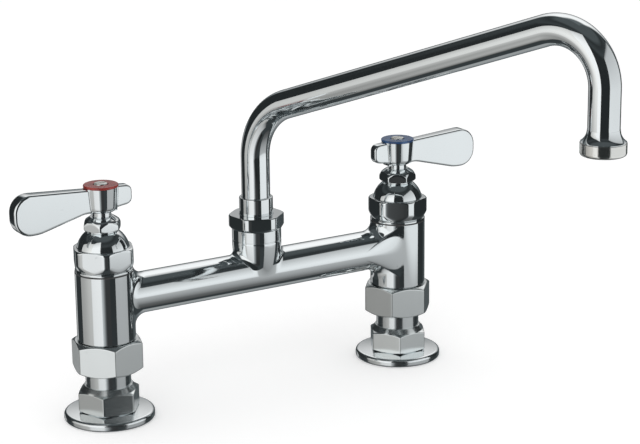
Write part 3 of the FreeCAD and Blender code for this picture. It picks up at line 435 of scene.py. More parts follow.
def boss_half():
    """The right half of the boss, its fillet and the bar round it to where the parts meet, as one grid.

    The boss's wall is an arc that leans in downwards. A ball rolls on that wall and on the bar, small at
    the sides and large in front and behind. Leaning by t, its centre lies (curve + ball) * cos(t) out
    from the arc's centre and (curve + ball) * sin(t) under it. Round the boss by angle a, at out from
    the boss's axis and rise over the bar's, it touches the bar as well where
    (out * sin(a))^2 + rise^2 = (bar radius + ball)^2.
    """
    seam = 24
    samples = turn_samples + 2 * seam + 1
    angle = np.linspace(-np.pi / 2, np.pi / 2, samples)
    ball = boss_fillet + (front_blend - boss_fillet) * np.abs(np.sin(angle)) ** 10
    chord = np.array([boss_radius - boss_root, groove_level - bar_level])
    side = np.array([-chord[1], chord[0]]) / np.linalg.norm(chord)
    bulge = math.sqrt(boss_curve ** 2 - chord @ chord / 4)
    middle_out, middle_up = np.array([boss_root, bar_level]) + chord / 2 + side * bulge
    leans = np.linspace(0, 0.3, 3001)[:, None]
    out = middle_out + (boss_curve + ball) * np.cos(leans)
    rise = middle_up - bar_level - (boss_curve + ball) * np.sin(leans)
    clear = (out * np.sin(angle)) ** 2 + rise ** 2 - (bar_radius + ball) ** 2
    hit = np.argmax(clear < 0, axis=0)
    columns = np.arange(samples)
    before, after = clear[hit - 1, columns], clear[hit, columns]
    lean = leans[hit - 1, 0] + (leans[1, 0] - leans[0, 0]) * before / (before - after)
    out = middle_out + (boss_curve + ball) * np.cos(lean)
    rise = middle_up - bar_level - (boss_curve + ball) * np.sin(lean)
    centre = np.stack([out * np.cos(angle), out * np.sin(angle), bar_level + rise], axis=-1)
    to_boss = np.stack([-np.cos(lean) * np.cos(angle), -np.cos(lean) * np.sin(angle), np.sin(lean)], axis=-1)
    to_bar = np.stack([np.zeros(samples), -centre[:, 1], -rise], axis=-1) / (bar_radius + ball)[:, None]
    groove = boss_radius - groove_depth
    groove_top = groove_level + groove_width
    top = rounded((
        (0, spindle_floor, 0), (spindle_bore, spindle_floor, 0), (spindle_bore, washer_level, 0),
        (washer_seat, washer_level, 0), (washer_seat, casting_top, 0),
        (spout_thread, casting_top, 0.4 * mm), (spout_thread, boss_top, 0),
        (boss_radius, boss_top, 0.3 * mm), (boss_radius, groove_top, 0.12 * mm), (groove, groove_top, 0),
        (groove, groove_level, 0), (boss_radius - 0.05 * mm, groove_level, 0)), closed=False)
    wall = np.stack([top[:, :1] * np.cos(angle), top[:, :1] * np.sin(angle),
                     np.repeat(top[:, 1:], samples, axis=1)], axis=-1)
    share = np.linspace(0, 1, 25)[:, None, None]
    tilts = share[1:-1, :, 0] * lean
    bowl = np.stack([(middle_out + boss_curve * np.cos(tilts)) * np.cos(angle),
                     (middle_out + boss_curve * np.cos(tilts)) * np.sin(angle),
                     middle_up - boss_curve * np.sin(tilts)], axis=-1)
    fillet = arc_between(centre, to_boss, to_bar, ball[:, None], share)
    hole = np.stack([fillet[-1, :, 0], np.arctan2(fillet[-1, :, 1], fillet[-1, :, 2] - bar_level)], axis=-1)
    edge = np.concatenate([
        np.column_stack([np.linspace(0, parts_meet, seam, endpoint=False), np.full(seam, -np.pi)]),
        np.column_stack([np.full(turn_samples, parts_meet), around[:-1]]),
        np.column_stack([np.linspace(parts_meet, 0, seam + 1), np.full(seam + 1, np.pi)])])
    way = np.linspace(0, 1, 49)[1:, None, None] ** 1.3
    unrolled = hole + way * (edge - hole)
    bar = np.stack([unrolled[..., 0], bar_radius * np.sin(unrolled[..., 1]),
                    bar_level + bar_radius * np.cos(unrolled[..., 1])], axis=-1)
    return np.concatenate([wall, bowl, fillet, bar])


def bar_and_fillet(flare):
    """The bar from where the parts meet to the column, and the fillet there, by angle from the bar's top.

    The fillet's ball keeps its radius from bar and column, so from the column's axis it stands
    sqrt((column radius + ball)^2 - ((bar radius + ball) * sin(angle))^2) along the bar. In front the
    ball grows to the flare's radius. The fillet is cut off level with the top of the column.
    """
    ball = bar_fillet + (flare - bar_fillet) * np.clip(-np.sin(around), 0, None) ** 16
    reach = bar_radius + ball
    away = np.sqrt((column_radius + ball) ** 2 - (reach * np.sin(around)) ** 2)
    centre = np.stack([column_x - away, reach * np.sin(around), bar_level + reach * np.cos(around)], axis=-1)
    to_bar = np.stack([np.zeros_like(away), -np.sin(around), -np.cos(around)], axis=-1)
    to_column = np.stack([away, -reach * np.sin(around), np.zeros_like(away)], axis=-1)
    to_column /= (column_radius + ball)[:, None]
    start = centre + to_bar * ball[:, None]
    way = np.linspace(0, 1, 41)[:, None]
    straight = np.repeat(start[None], len(way), axis=0)
    straight[..., 0] = parts_meet + way * (start[:, 0] - parts_meet)
    swing = np.arccos(np.sum(to_bar * to_column, axis=-1))
    room = (column_top - bar_level) / np.cos(around)
    spare = np.clip((reach - room) / ball * np.sin(swing), -1, 1)
    runs_out = reach * np.cos(around) > column_top - bar_level
    last = np.where(runs_out, 1 - np.arcsin(np.where(runs_out, spare, 0)) / swing, 1)
    share = np.linspace(0, 1, 25)[1:, None, None] * last[:, None]
    fillet = arc_between(centre, to_bar, to_column, ball[:, None], share)
    return np.concatenate([straight, fillet]), runs_out


def column_wall(rim, runs_out):
    """The column's wall round the fillet's rim, unrolled: from the rim out to the column's edges."""
    kept = np.flatnonzero(~runs_out)
    order = np.concatenate([kept[kept > turn_samples // 2], kept[kept < turn_samples // 2][1:]])
    points = rim[order]
    hole = np.column_stack([np.arctan2(points[:, 1], column_x - points[:, 0]), points[:, 2]])
    foot = column_low + foot_rounding
    corners = np.array([
        hole[0], (hole[0, 0], column_top), (np.pi, column_top), (np.pi, foot), (-np.pi, foot),
        (-np.pi, column_top), (hole[-1, 0], column_top), hole[-1]])
    length = np.hypot(np.diff(corners[:, 0]) * column_radius, np.diff(corners[:, 1]))
    along = np.concatenate([[0], np.cumsum(length)]) / length.sum()
    places = np.linspace(0, 1, len(hole))
    for fixed in along[1:-1]:
        places[np.abs(places - fixed).argmin()] = fixed
    edge = np.column_stack([np.interp(places, along, corners[:, column]) for column in range(2)])
    way = np.linspace(0, 1, 61)[:, None, None]
    bearing, level = np.moveaxis(hole + way * (edge - hole), -1, 0)
    across = column_x - column_radius * np.cos(bearing)
    return np.stack([across, column_radius * np.sin(bearing), level], axis=-1), edge


foot_outline = rounded((
    (column_radius, column_low + foot_rounding, 0), (column_radius, column_low, foot_rounding),
    (spigot_radius, column_low, 0), (spigot_radius, casting_low, 0.4 * mm),
    (inlet_bore, casting_low, 0.3 * mm), (inlet_bore, seat_low, 0), (seat_bore, seat_low, 0),
    (seat_bore, chamber_floor, 0), (chamber_bore, chamber_floor, 0), (chamber_bore, column_top, 0)),
    closed=False)


def end_of_bridge(flare):
    """One end of the casting: the bar with its fillet, the column's wall, its top face, foot and bores."""
    run, runs_out = bar_and_fillet(flare)
    wall, wall_edge = column_wall(run[-1], runs_out)
    top_rim = np.concatenate([run[-1][runs_out], wall[-1][wall_edge[:, 1] > column_top - 0.01 * mm]])
    bearing = np.arctan2(top_rim[:, 1], column_x - top_rim[:, 0])
    top_rim = top_rim[np.argsort(bearing)]
    bearing = np.sort(bearing)
    bore_rim = np.stack([column_x - chamber_bore * np.cos(bearing), chamber_bore * np.sin(bearing),
                         np.full(len(bearing), column_top)], axis=-1)
    at_foot = np.abs(wall_edge[:, 1] - column_low - foot_rounding) < 0.001 * mm
    angles = wall_edge[at_foot, 0]
    foot = np.stack([column_x - foot_outline[:, :1] * np.cos(angles), foot_outline[:, :1] * np.sin(angles),
                     np.repeat(foot_outline[:, 1:], len(angles), axis=1)], axis=-1)
    return run, wall, foot, np.stack([top_rim, bore_rim])


halves = []
for mirror, flare in ((np.array([1, 1, 1]), front_flare), (np.array([-1, 1, 1]), bar_fillet)):
    *sheets, top_face = end_of_bridge(flare)
    for grid in (boss_half(), *sheets):
        halves.append((grid * mirror, sheeted(grid)))
    halves.append((top_face * mirror, wrapped(top_face, round_rows=False)))
made("bridge_casting", halves, "bridge", polished_chrome, "bridge_body")


# Bonnets: each closes a column. From below they have a bead, a girdle with six milled flats that start
# sharp and run out into a rounded lower edge, a domed top and a threaded neck for the packing nut.

bonnet_turns = {"hot": 10, "cold": 24}
bonnet_radius = 18.3 * mm
bonnet_flats = 33.5 * mm
bead_radius = 17.1 * mm
girdle_foot = 16.3 * mm
ledge = 15.25 * mm
bonnet_thread = 12.95 * mm
dome_radius = 15.6 * mm
quick_thread = 7.08 * mm
stem_hole = 5.55 * mm
sleeve = 5.9 * mm
neck_radius = 8.4 * mm
neck_bore = 7 * mm

for side in valve_sides:
    node = side + "_bonnet"
    low, high = heights(node)
    seat = column_top + 0.6 * mm
    bead_top = seat + 1.5 * mm
    girdle_top = bead_top + 12.7 * mm
    dome_foot = girdle_top + 0.2 * mm
    dome_top = girdle_top + 9.6 * mm
    dome_centre = girdle_top - 3.1 * mm
    outline = rounded((
        (quick_thread, low, 0.3 * mm), (bonnet_thread, low, 0.4 * mm), (bonnet_thread, seat, 0),
        (bead_radius, seat, 0.4 * mm), (bead_radius, bead_top, 0.7 * mm), (girdle_foot, bead_top, 0.1 * mm),
        (bonnet_radius, bead_top + 3.8 * mm, 3.0 * mm), (bonnet_radius, girdle_top, 1.4 * mm),
        (ledge, girdle_top, 0.2 * mm), (ledge, dome_foot, 0)), closed=False)
    tilt = np.linspace(math.asin((dome_foot - dome_centre) / dome_radius),
                       math.asin((dome_top - dome_centre) / dome_radius), 41)
    dome = np.column_stack([dome_radius * np.cos(tilt), dome_centre + dome_radius * np.sin(tilt)])
    sleeve_top = girdle_top + 15.8 * mm
    thread_top = girdle_top + 0.9 * mm
    inside = np.array([
        (sleeve, dome_top), (sleeve, sleeve_top), (stem_hole, sleeve_top), (stem_hole, thread_top),
        (quick_thread, thread_top)])
    outline = np.vstack([outline[:-1], dome, inside])
    girdle = turned(stepped(outline, 0.4 * mm), axis_of(node), bonnet_flats, bonnet_turns[side], 288)
    outline = rounded((
        (neck_bore, dome_top - 2 * mm, 0), (neck_radius, dome_top - 2 * mm, 0),
        (neck_radius, high, 0.3 * mm), (neck_bore, high, 0)))
    neck = turned(outline, axis_of(node))
    made(node + "_turned", [(girdle, wrapped(girdle)), (neck, wrapped(neck))], "bridge", polished_chrome,
         node)


# Packing nuts: small hexagons with a conical top, screwed down on the bonnet's neck round the stem.

packing_turns = {"hot": 57, "cold": 26}
packing_flats = 20 * mm

for side in valve_sides:
    node = side + "_packing_nut"
    low, high = heights(node)
    neck_thread = 8.45 * mm
    roof = high - 2.2 * mm
    corner = packing_flats / math.sqrt(3)
    past_corner = corner + 0.4 * mm
    outline = stepped(rounded((
        (neck_thread, low, 0.15 * mm), (corner - 0.8 * mm, low, 0.3 * mm),
        (past_corner, low + 0.9 * mm, 0.3 * mm), (past_corner, high - 5.3 * mm, 0),
        (9.9 * mm, high - 2.1 * mm, 3 * mm), (6.8 * mm, high, 1 * mm), (stem_hole, high, 0.15 * mm),
        (stem_hole, roof, 0), (neck_thread, roof, 0))), 0.2 * mm)
    nut = turned(outline, axis_of(node), packing_flats, packing_turns[side], 192)
    made(node + "_milled", [(nut, wrapped(nut))], "bridge", polished_chrome, node)


# Stems: turned brass, plated where they show between the packing nut and the lever's hub. Below that a
# quick thread rides in the bonnet, and a plain pin carries the swivelling washer cup.

for side in valve_sides:
    node = side + "_stem"
    low, high = heights(node)
    pin = 3 * mm
    shank = 4.8 * mm
    shank_low = low + 4.5 * mm
    thread = 7 * mm
    thread_top = column_top + 13.2 * mm
    thread_low = thread_top - 14 * mm
    stem = 5.45 * mm
    tang = 3.8 * mm
    tang_low = high - 8.2 * mm
    outline = rounded((
        (0, low, 0), (pin, low, 0.2 * mm), (pin, shank_low, 0), (shank, shank_low, 0.3 * mm),
        (shank, thread_low, 0), (thread, thread_low, 0.4 * mm), (thread, thread_top, 0.4 * mm),
        (stem, thread_top, 0), (stem, tang_low, 0.2 * mm), (tang, tang_low, 0), (tang, high, 0.2 * mm),
        (0, high, 0)))
    shaft = turned(outline, axis_of(node))
    made(node + "_turned", [(shaft, wrapped(shaft))], side + "_valve", polished_chrome,
         node)


# Lever handles: polished castings. A slightly tapered hub sits on the stem's square, a flared blade with
# bullnosed edges reaches outwards, thicker at its end, and a short tail balances it on the other side.

hub_low, hub_high = heights("hot_index_ring")[0] - 14.7 * mm, heights("hot_index_ring")[0]
lever_reach = 55.4 * mm
tail_reach = 18.4 * mm
bullnose = 1.35 * mm
blend = 0.7 * mm


def hub_radius(height):
    """The hub's radius: 8.8 mm widening to 10 mm at the top, with a rounded lower edge of 3.4 mm."""
    rise = height - hub_low
    side = 8.8 * mm + 1.2 * mm * rise / (hub_high - hub_low)
    rounding = 3.4 * mm
    under = np.clip(rounding - rise, 0, rounding)
    return side - rounding + np.sqrt(np.clip(rounding ** 2 - under ** 2, 0, None))


def from_line(points, line):
    """Distance from points to the nearest segment of a closed line."""
    ahead = np.roll(line, -1, axis=0) - line
    ahead, line = ahead[np.hypot(*ahead.T) > 0], line[np.hypot(*ahead.T) > 0]
    apart = points[..., None, :] - line
    share = np.clip(np.sum(apart * ahead, axis=-1) / np.sum(ahead * ahead, axis=-1), 0, 1)
    return np.linalg.norm(apart - share[..., None] * ahead, axis=-1).min(axis=-1)


def lever(side, outwards):
    """Both broad faces of a lever as a half thickness over its outline, along and up.

    The blade's half thickness grows evenly from tail to end and is rounded off within the bullnose of
    the outline. The hub's is sqrt(radius(height)^2 - along^2). The larger of the two is taken, softly.
    """
    root = hub_low + 0.3 * mm
    end_low = hub_low - 7.1 * mm
    end_high = hub_high + 2.7 * mm
    end_rounding = 10.2 * mm
    tail_rounding = 4 * mm
    beside_hub = 10.3 * mm
    under_ring = hub_high - 0.2 * mm
    line = rounded((
        (-tail_reach, hub_low + 2.9 * mm, tail_rounding), (0, root, 0), (12 * mm, root, 14 * mm),
        (40.2 * mm, end_low, 24 * mm), (lever_reach, end_low, end_rounding),
        (lever_reach, end_high, end_rounding), (beside_hub, under_ring, 0), (-beside_hub, under_ring, 0),
        (-tail_reach, hub_low + 13.9 * mm, tail_rounding)))
    loop = np.roll(line, -np.argmin(line[:, 0]), axis=0)
    turn = np.argmax(loop[:, 0])
    tip = loop[turn, 0]
    below = loop[:turn + 1]
    above = np.vstack([loop[turn:], loop[:1]])[::-1]
    ease = (1 - np.cos(np.linspace(0, np.pi, 41))) / 2
    tail_part = -tail_reach + ease * 7 * mm
    end_part = lever_reach - 11.5 * mm + ease * 11.5 * mm
    hub_part = np.linspace(-12 * mm, 13 * mm, 121)
    blade_part = np.linspace(13 * mm, 44 * mm, 63)
    along = np.unique(np.concatenate([tail_part, hub_part, blade_part, end_part]).round(8))
    along = np.clip(along, -tail_reach, tip)
    low = np.interp(along, below[:, 0], below[:, 1])
    high = np.interp(along, above[:, 0], above[:, 1])
    in_hub = np.abs(along) < 8.6 * mm
    low = np.where(in_hub, hub_low, low)
    high = np.where(np.abs(along) < 10 * mm, hub_high, high)
    rows = ease[:, None]
    up = low + rows * (high - low)
    across = np.broadcast_to(along, up.shape)
    inset = from_line(np.stack([across, up], axis=-1), line)
    thick = 3.1 * mm + 1.4 * mm * (across + tail_reach) / (lever_reach + tail_reach)
    depth = np.clip(bullnose - inset, 0, bullnose)
    blade = thick - bullnose + np.sqrt(bullnose ** 2 - depth ** 2)
    hub = np.sqrt(np.clip(hub_radius(up) ** 2 - across ** 2, 0, None))
    half = -least(-blade, -hub, np.where(np.abs(across) < 13 * mm, blend / 2, blend / 8))
    front = np.stack([across * outwards, -half, up], axis=-1)
    back = np.stack([across * outwards, half, up], axis=-1)
    strips = []
    for rim in ((0,), (-1,), (slice(None), 0), (slice(None), -1)):
        strips.append(np.stack([front[rim], back[rim]]))
    axis = axis_of(side + "_stem")
    return [(grid + axis, sheeted(grid)) for grid in (front, back, *strips)]


for side, outwards in (("hot", -1), ("cold", 1)):
    made(side + "_lever_casting", lever(side, outwards), side + "_valve", polished_chrome,
         side + "_lever_handle")


# Index rings: enamelled rings on the hubs, red for hot and blue for cold, held by an oval-head screw.

def enamel(name, colour, dark):
    """Glossy enamel over metal: slightly uneven colour and an orange-peel skin with a thin clear coat."""
    material, shader, place = surface(name)
    clouds = mottled(place, 260, 4)
    peel = mottled(place, 1500, 2)
    feed(shader, Base_Color=mixed(clouds.eased(0.35, 0.7), dark, colour), Roughness=peel * 0.12 + 0.22,
         Coat_Weight=0.4, Normal=bumped(peel, 0.01 * mm))
    return material


index_colours = {"hot": enamel("red enamel", (0.31, 0.034, 0.026, 1), (0.2, 0.018, 0.014, 1)),
                 "cold": enamel("blue enamel", (0.028, 0.09, 0.22, 1), (0.014, 0.045, 0.13, 1))}

for side in valve_sides:
    node = side + "_index_ring"
    low, high = heights(node)
    hole = 4.3 * mm
    radius = 10.15 * mm
    outline = rounded((
        (hole, low, 0.2 * mm), (radius, low, 0.3 * mm), (radius, high, 0.6 * mm), (hole, high, 0.3 * mm)))
    ring = turned(outline, axis_of(node))
    made(node + "_enamelled", [(ring, wrapped(ring))], side + "_valve", index_colours[side], node)


# Spout nut and collar: the nut has six short flats milled on a round blank and holds the collar's
# flange down in the boss. The collar is brazed on the tube, and its spindle turns in the boss.

node = "spout_nut"
low, high = heights(node)
blank = 16.7 * mm
flats = 30.4 * mm
nut_turn = 39
thread = 13.45 * mm
lip = 10.25 * mm
lip_low = high - 2.5 * mm
outline = stepped(rounded((
    (thread, low, 0.2 * mm), (flats / 2, low, 0.2 * mm), (blank, low + 1.6 * mm, 0.8 * mm),
    (blank, high - 0.5 * mm, 0.3 * mm), (16 * mm, high, 0.3 * mm), (lip, high, 0.2 * mm),
    (lip, lip_low, 0), (thread, lip_low, 0))), 0.25 * mm)
nut = turned(outline, axis_of("spout_collar"), flats, nut_turn, 288)
made(node + "_milled", [(nut, wrapped(nut))], "bridge", polished_chrome, node)

node = "spout_collar"
low, high = heights(node)
bore = 6.5 * mm
spindle = 9.02 * mm
flange = 11.9 * mm
flange_low = low + 17.5 * mm
flange_top = flange_low + 1.4 * mm
collar_radius = 10.15 * mm
tube_socket = 8.65 * mm
socket_floor = high - 12 * mm
outline = rounded((
    (bore, low, 0.3 * mm), (spindle, low, 0.4 * mm), (spindle, flange_low, 0),
    (flange, flange_low, 0.3 * mm), (flange, flange_top, 0.3 * mm), (collar_radius, flange_top, 0),
    (collar_radius, high, 0.6 * mm), (tube_socket, high, 0.3 * mm), (tube_socket, socket_floor, 0),
    (bore, socket_floor, 0)))
collar = turned(outline, axis_of(node))
made(node + "_turned", [(collar, wrapped(collar))], "spout", polished_chrome, node)


# Spout tube: one drawn and bent brass tube, polished. It rises from the collar, bends forward into a
# long gentle climb, and turns down to the outlet.

spout_turn = math.radians(-71)
tube_radius = 8.6 * mm
tube_wall = 1.2 * mm
spout_reach = 241.3 * mm
rise_radius = 37.4 * mm
outlet_radius = 28 * mm
spout_slope = math.radians(19.4)
tube_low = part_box("outlet_fitting")[1].z - 4.2 * mm


def spout_line():
    """Points of the tube's middle, and the outward normal in its plane, at every station along it.

    A station is (distance from the boss's axis, height). Both bends are arcs, tangent to the upright
    riser, to the run that climbs by the slope, and to the upright outlet leg.
    """
    riser_top = heights("spout_nut")[1] + 35 * mm
    base = heights("spout_nut")[1] - 1.4 * mm
    first = np.array([rise_radius, riser_top])
    normal = np.array([-math.sin(spout_slope), math.cos(spout_slope)])
    course = np.array([math.cos(spout_slope), math.sin(spout_slope)])
    run_start = first + normal * rise_radius
    length = (spout_reach - outlet_radius * (1 + math.sin(spout_slope)) - run_start[0]) / course[0]
    run_end = run_start + course * length
    last = run_end - normal * outlet_radius
    bend = np.linspace(math.pi, math.pi / 2 + spout_slope, 49)[:, None]
    crook = np.linspace(math.pi / 2 + spout_slope, 0, 65)[:, None]
    share = np.linspace(0, 1, 40)[1:-1, None]
    points = np.vstack([
        (0, base), (0, riser_top - 1 * mm), first + rise_radius * np.hstack([np.cos(bend), np.sin(bend)]),
        run_start + share * (run_end - run_start),
        last + outlet_radius * np.hstack([np.cos(crook), np.sin(crook)]),
        (spout_reach, last[1] - 1 * mm), (spout_reach, tube_low)])
    outward = np.vstack([
        (-1, 0), (-1, 0), np.hstack([np.cos(bend), np.sin(bend)]),
        np.repeat(normal[None], len(share), axis=0), np.hstack([np.cos(crook), np.sin(crook)]),
        (1, 0), (1, 0)])
    return points, outward


stations, outward = spout_line()
radial = np.array([math.cos(spout_turn), math.sin(spout_turn), 0])
sideways = np.array([-math.sin(spout_turn), math.cos(spout_turn), 0])


def tube_skin(radius):
    """A circle of points round every station: outward * cos(angle) + sideways * sin(angle)."""
    angle = np.linspace(0, 2 * np.pi, 128, endpoint=False)[None, :, None]
    middle_line = stations[:, :1] * radial + stations[:, 1:] * np.array([0, 0, 1])
    out = outward[:, :1] * radial + outward[:, 1:] * np.array([0, 0, 1])
    return middle_line[:, None] + radius * (out[:, None] * np.cos(angle) + sideways * np.sin(angle))


tube = np.concatenate([tube_skin(tube_radius), tube_skin(tube_radius - tube_wall)[::-1]])
made("spout_tube_bent", [(tube, wrapped(tube))], "spout", polished_chrome, "spout_tube")


# Outlet fitting and aerator: a flared fitting brazed on the tube's end, and on its thread the aerator's
# satin housing with a rounded lower edge. A perforated insert and a washer sit inside.

node = "outlet_fitting"
low, high = heights(node)
outlet = axis_of(node)
flare_low = high - 6.4 * mm
flare_out = 12.1 * mm
flare_in = 8.75 * mm
spread = flare_out - flare_in
flare_radius = ((high - flare_low) ** 2 + spread ** 2) / (2 * spread)
sweep = np.linspace(0, math.acos(1 - spread / flare_radius), 25)
flare_across = flare_in + flare_radius * (1 - np.cos(sweep))
flare = np.column_stack([flare_across, high - flare_radius * np.sin(sweep)])
rim_low = flare_low - 0.3 * mm
thread = 11.7 * mm
bore = 7.4 * mm
tube_socket = 8.62 * mm
tube_end = high - 4.3 * mm
lower = rounded((
    (flare_out, flare_low, 0), (flare_out, rim_low, 0.1 * mm), (thread, rim_low, 0),
    (thread, low, 0.3 * mm), (bore, low, 0.2 * mm), (bore, tube_end, 0), (tube_socket, tube_end, 0),
    (tube_socket, high, 0)), closed=False)
fitting = turned(np.vstack([flare, lower[1:]]), outlet)
made(node + "_turned", [(fitting, wrapped(fitting))], "spout", polished_chrome, node)

warm_satin = satin_plate("warm satin nickel", (0.86, 0.85, 0.82, 1), (1, 1, 20), 0.09)

node = "aerator_housing"
low, high = heights(node)
mouth = 9.3 * mm
radius = 12.4 * mm
thread = 11.75 * mm
lip_top = low + 1.2 * mm
outline = rounded((
    (mouth, low, 0.3 * mm), (radius, low, 1.8 * mm), (radius, high, 0.3 * mm), (thread, high, 0.1 * mm),
    (thread, lip_top, 0), (mouth, lip_top, 0)))
housing = turned(outline, axis_of(node))
made(node + "_turned", [(housing, wrapped(housing))], "spout", warm_satin, node)


# Inner pieces: seats, cups, screws, washers, packing and the aerator's insert stay as the solids that
# the frame gives, each finished as the real material.

def machined_brass(name):
    """Bare turned brass: fine turning rings and warm oxide clouds that dull it."""
    material, shader, place = surface(name)
    rings = mottled(place, 300, 2, (0.3, 0.3, 12))
    clouds = mottled(place, 140, 4)
    aged, fresh = (0.66, 0.47, 0.2, 1), (0.78, 0.6, 0.32, 1)
    feed(shader, Base_Color=mixed(clouds.eased(0.3, 0.75), aged, fresh), Metallic=1.0,
         Roughness=clouds * 0.2 + 0.2, Normal=bumped(rings, 0.01 * mm))
    return material


def moulded(name, colour, pale, roughness):
    """Moulded rubber, fibre or plastic: cloudy colour, a fine pitted skin and uneven gloss."""
    material, shader, place = surface(name)
    clouds = mottled(place, 180, 4)
    pits = mottled(place, 1800, 3)
    feed(shader, Base_Color=mixed(clouds.eased(0.3, 0.75), colour, pale), Roughness=pits * 0.15 + roughness,
         Normal=bumped(pits, 0.02 * mm))
    return material


def plated_screw(name):
    """Plated steel screw: turned head with fine rings and dull handling spots."""
    material, shader, place = surface(name)
    rings = mottled(place, 700, 2)
    spots = mottled(place, 500, 4).eased(0.6, 0.75)
    feed(shader, Base_Color=mixed(spots * 0.4, (0.93, 0.93, 0.9, 1), (0.5, 0.52, 0.52, 1)), Metallic=1.0,
         Roughness=rings * 0.12 + 0.22, Normal=bumped(rings, 0.01 * mm))
    return material


finishes = {
    "brass": machined_brass("machined brass"),
    "rubber": moulded("black rubber", (0.02, 0.02, 0.02, 1), (0.05, 0.05, 0.048, 1), 0.5),
    "fibre": moulded("dark fibre", (0.03, 0.03, 0.031, 1), (0.055, 0.055, 0.055, 1), 0.5),
    "packing": moulded("white packing", (0.8, 0.8, 0.76, 1), (0.9, 0.9, 0.87, 1), 0.35),
    "dark_plastic": moulded("grey plastic", (0.13, 0.13, 0.14, 1), (0.2, 0.2, 0.21, 1), 0.4),
    "steel_screw": plated_screw("plated screw"),
    "polished_chrome": polished_chrome,
    "satin_chrome": satin_chrome,
    "red_index": index_colours["hot"],
    "blue_index": index_colours["cold"],
}
for entry in frame["record"]["subparts"]:
    node = frame["nodes"][entry["node"]]
    node.data.materials.clear()
    node.data.materials.append(finishes[entry["material_slot"]])


# Studio: a pale floor and a plain white surround for the camera. What the metal mirrors is the room of
# such a picture: upright panels on both sides, the floor's shine under them, and dark gaps between.

def soft_panel(name, start, end, tops, tint, heights_lit, fades=(9, 10), least_light=1.0):
    """An upright panel that only mirrors see, from start to end in plan, lit by a ramp over its height.

    The tops are its heights at start and end. Below the floor's level its light is what the polished
    floor shines back. Between the two places fades, in metres along x, it sinks to its least light.
    """
    low, high = heights_lit[0][0], heights_lit[-1][0]
    material, _, place = surface(name)
    tree = material.node_tree
    split = added(tree, "ShaderNodeSeparateXYZ", {}, {0: place})
    rise = (Wire(split.outputs[2]) - low) / (high - low)
    strength = 1 - Wire(split.outputs[0]).eased(*fades) * (1 - least_light)
    stops = [((level - low) / (high - low), light) for level, light in heights_lit]
    light = rise.node("ShaderNodeVectorMath", {"operation": "MULTIPLY"}, {0: rise.ramp(*stops), 1: tint})
    glow = added(tree, "ShaderNodeEmission", {}, {"Color": light, "Strength": strength})
    tree.links.new(glow.outputs[0], tree.nodes["Material Output"].inputs[0])
    mesh = bpy.data.meshes.new(name)
    mesh.from_pydata([(*start, low), (*end, low), (*end, tops[1]), (*start, tops[0])], [], [(0, 1, 2, 3)])
    mesh.materials.append(material)
    panel = bpy.data.objects.new(name, mesh)
    panel.visible_camera = False
    panel.visible_diffuse = False
    panel.visible_shadow = False
    panel.visible_transmission = False
    bpy.context.scene.collection.objects.link(panel)


soft_panel("right_panel", (0.055, -0.517), (0.435, -0.185), (0.42, 0.42), (0.97, 1.0, 1.01),
           ((-1.2, 0.05), (-0.74, 0.09), (-0.49, 0.13), (-0.32, 0.25), (-0.2, 0.34), (-0.06, 0.44),
            (-0.03, 0.76), (0.02, 0.84), (0.08, 0.85), (0.16, 0.76), (0.29, 0.6), (0.39, 0.5), (0.42, 0.2)))
soft_panel("left_panel", (-0.489, -0.496), (-1.1, -0.23), (1.0, 1.0), (0.99, 1.0, 1.0),
           ((-1.7, 0.1), (-1.0, 0.45), (-0.4, 0.68), (-0.1, 0.86), (0.0, 0.97), (0.5, 0.97), (1.0, 0.6)))
soft_panel("left_wall", (-1.1, -0.23), (-0.675, 0.448), (1.0, 0.35), (1.0, 0.995, 0.97),
           ((-1.7, 0.06), (-1.3, 0.35), (-0.9, 0.5), (-0.4, 0.42), (-0.1, 0.6), (0.0, 0.9), (0.2, 0.95),
            (1.0, 0.6)), (-1.08, -0.7), 0.62)
soft_panel("floor_shine", (-0.489, -0.496), (-0.15, -0.56), (-0.01, -0.01), (0.95, 1.0, 1.02),
           ((-0.8, 0.1), (-0.2, 0.5), (-0.03, 0.6), (-0.01, 0.1)), (-0.5, -0.3), 0.07)


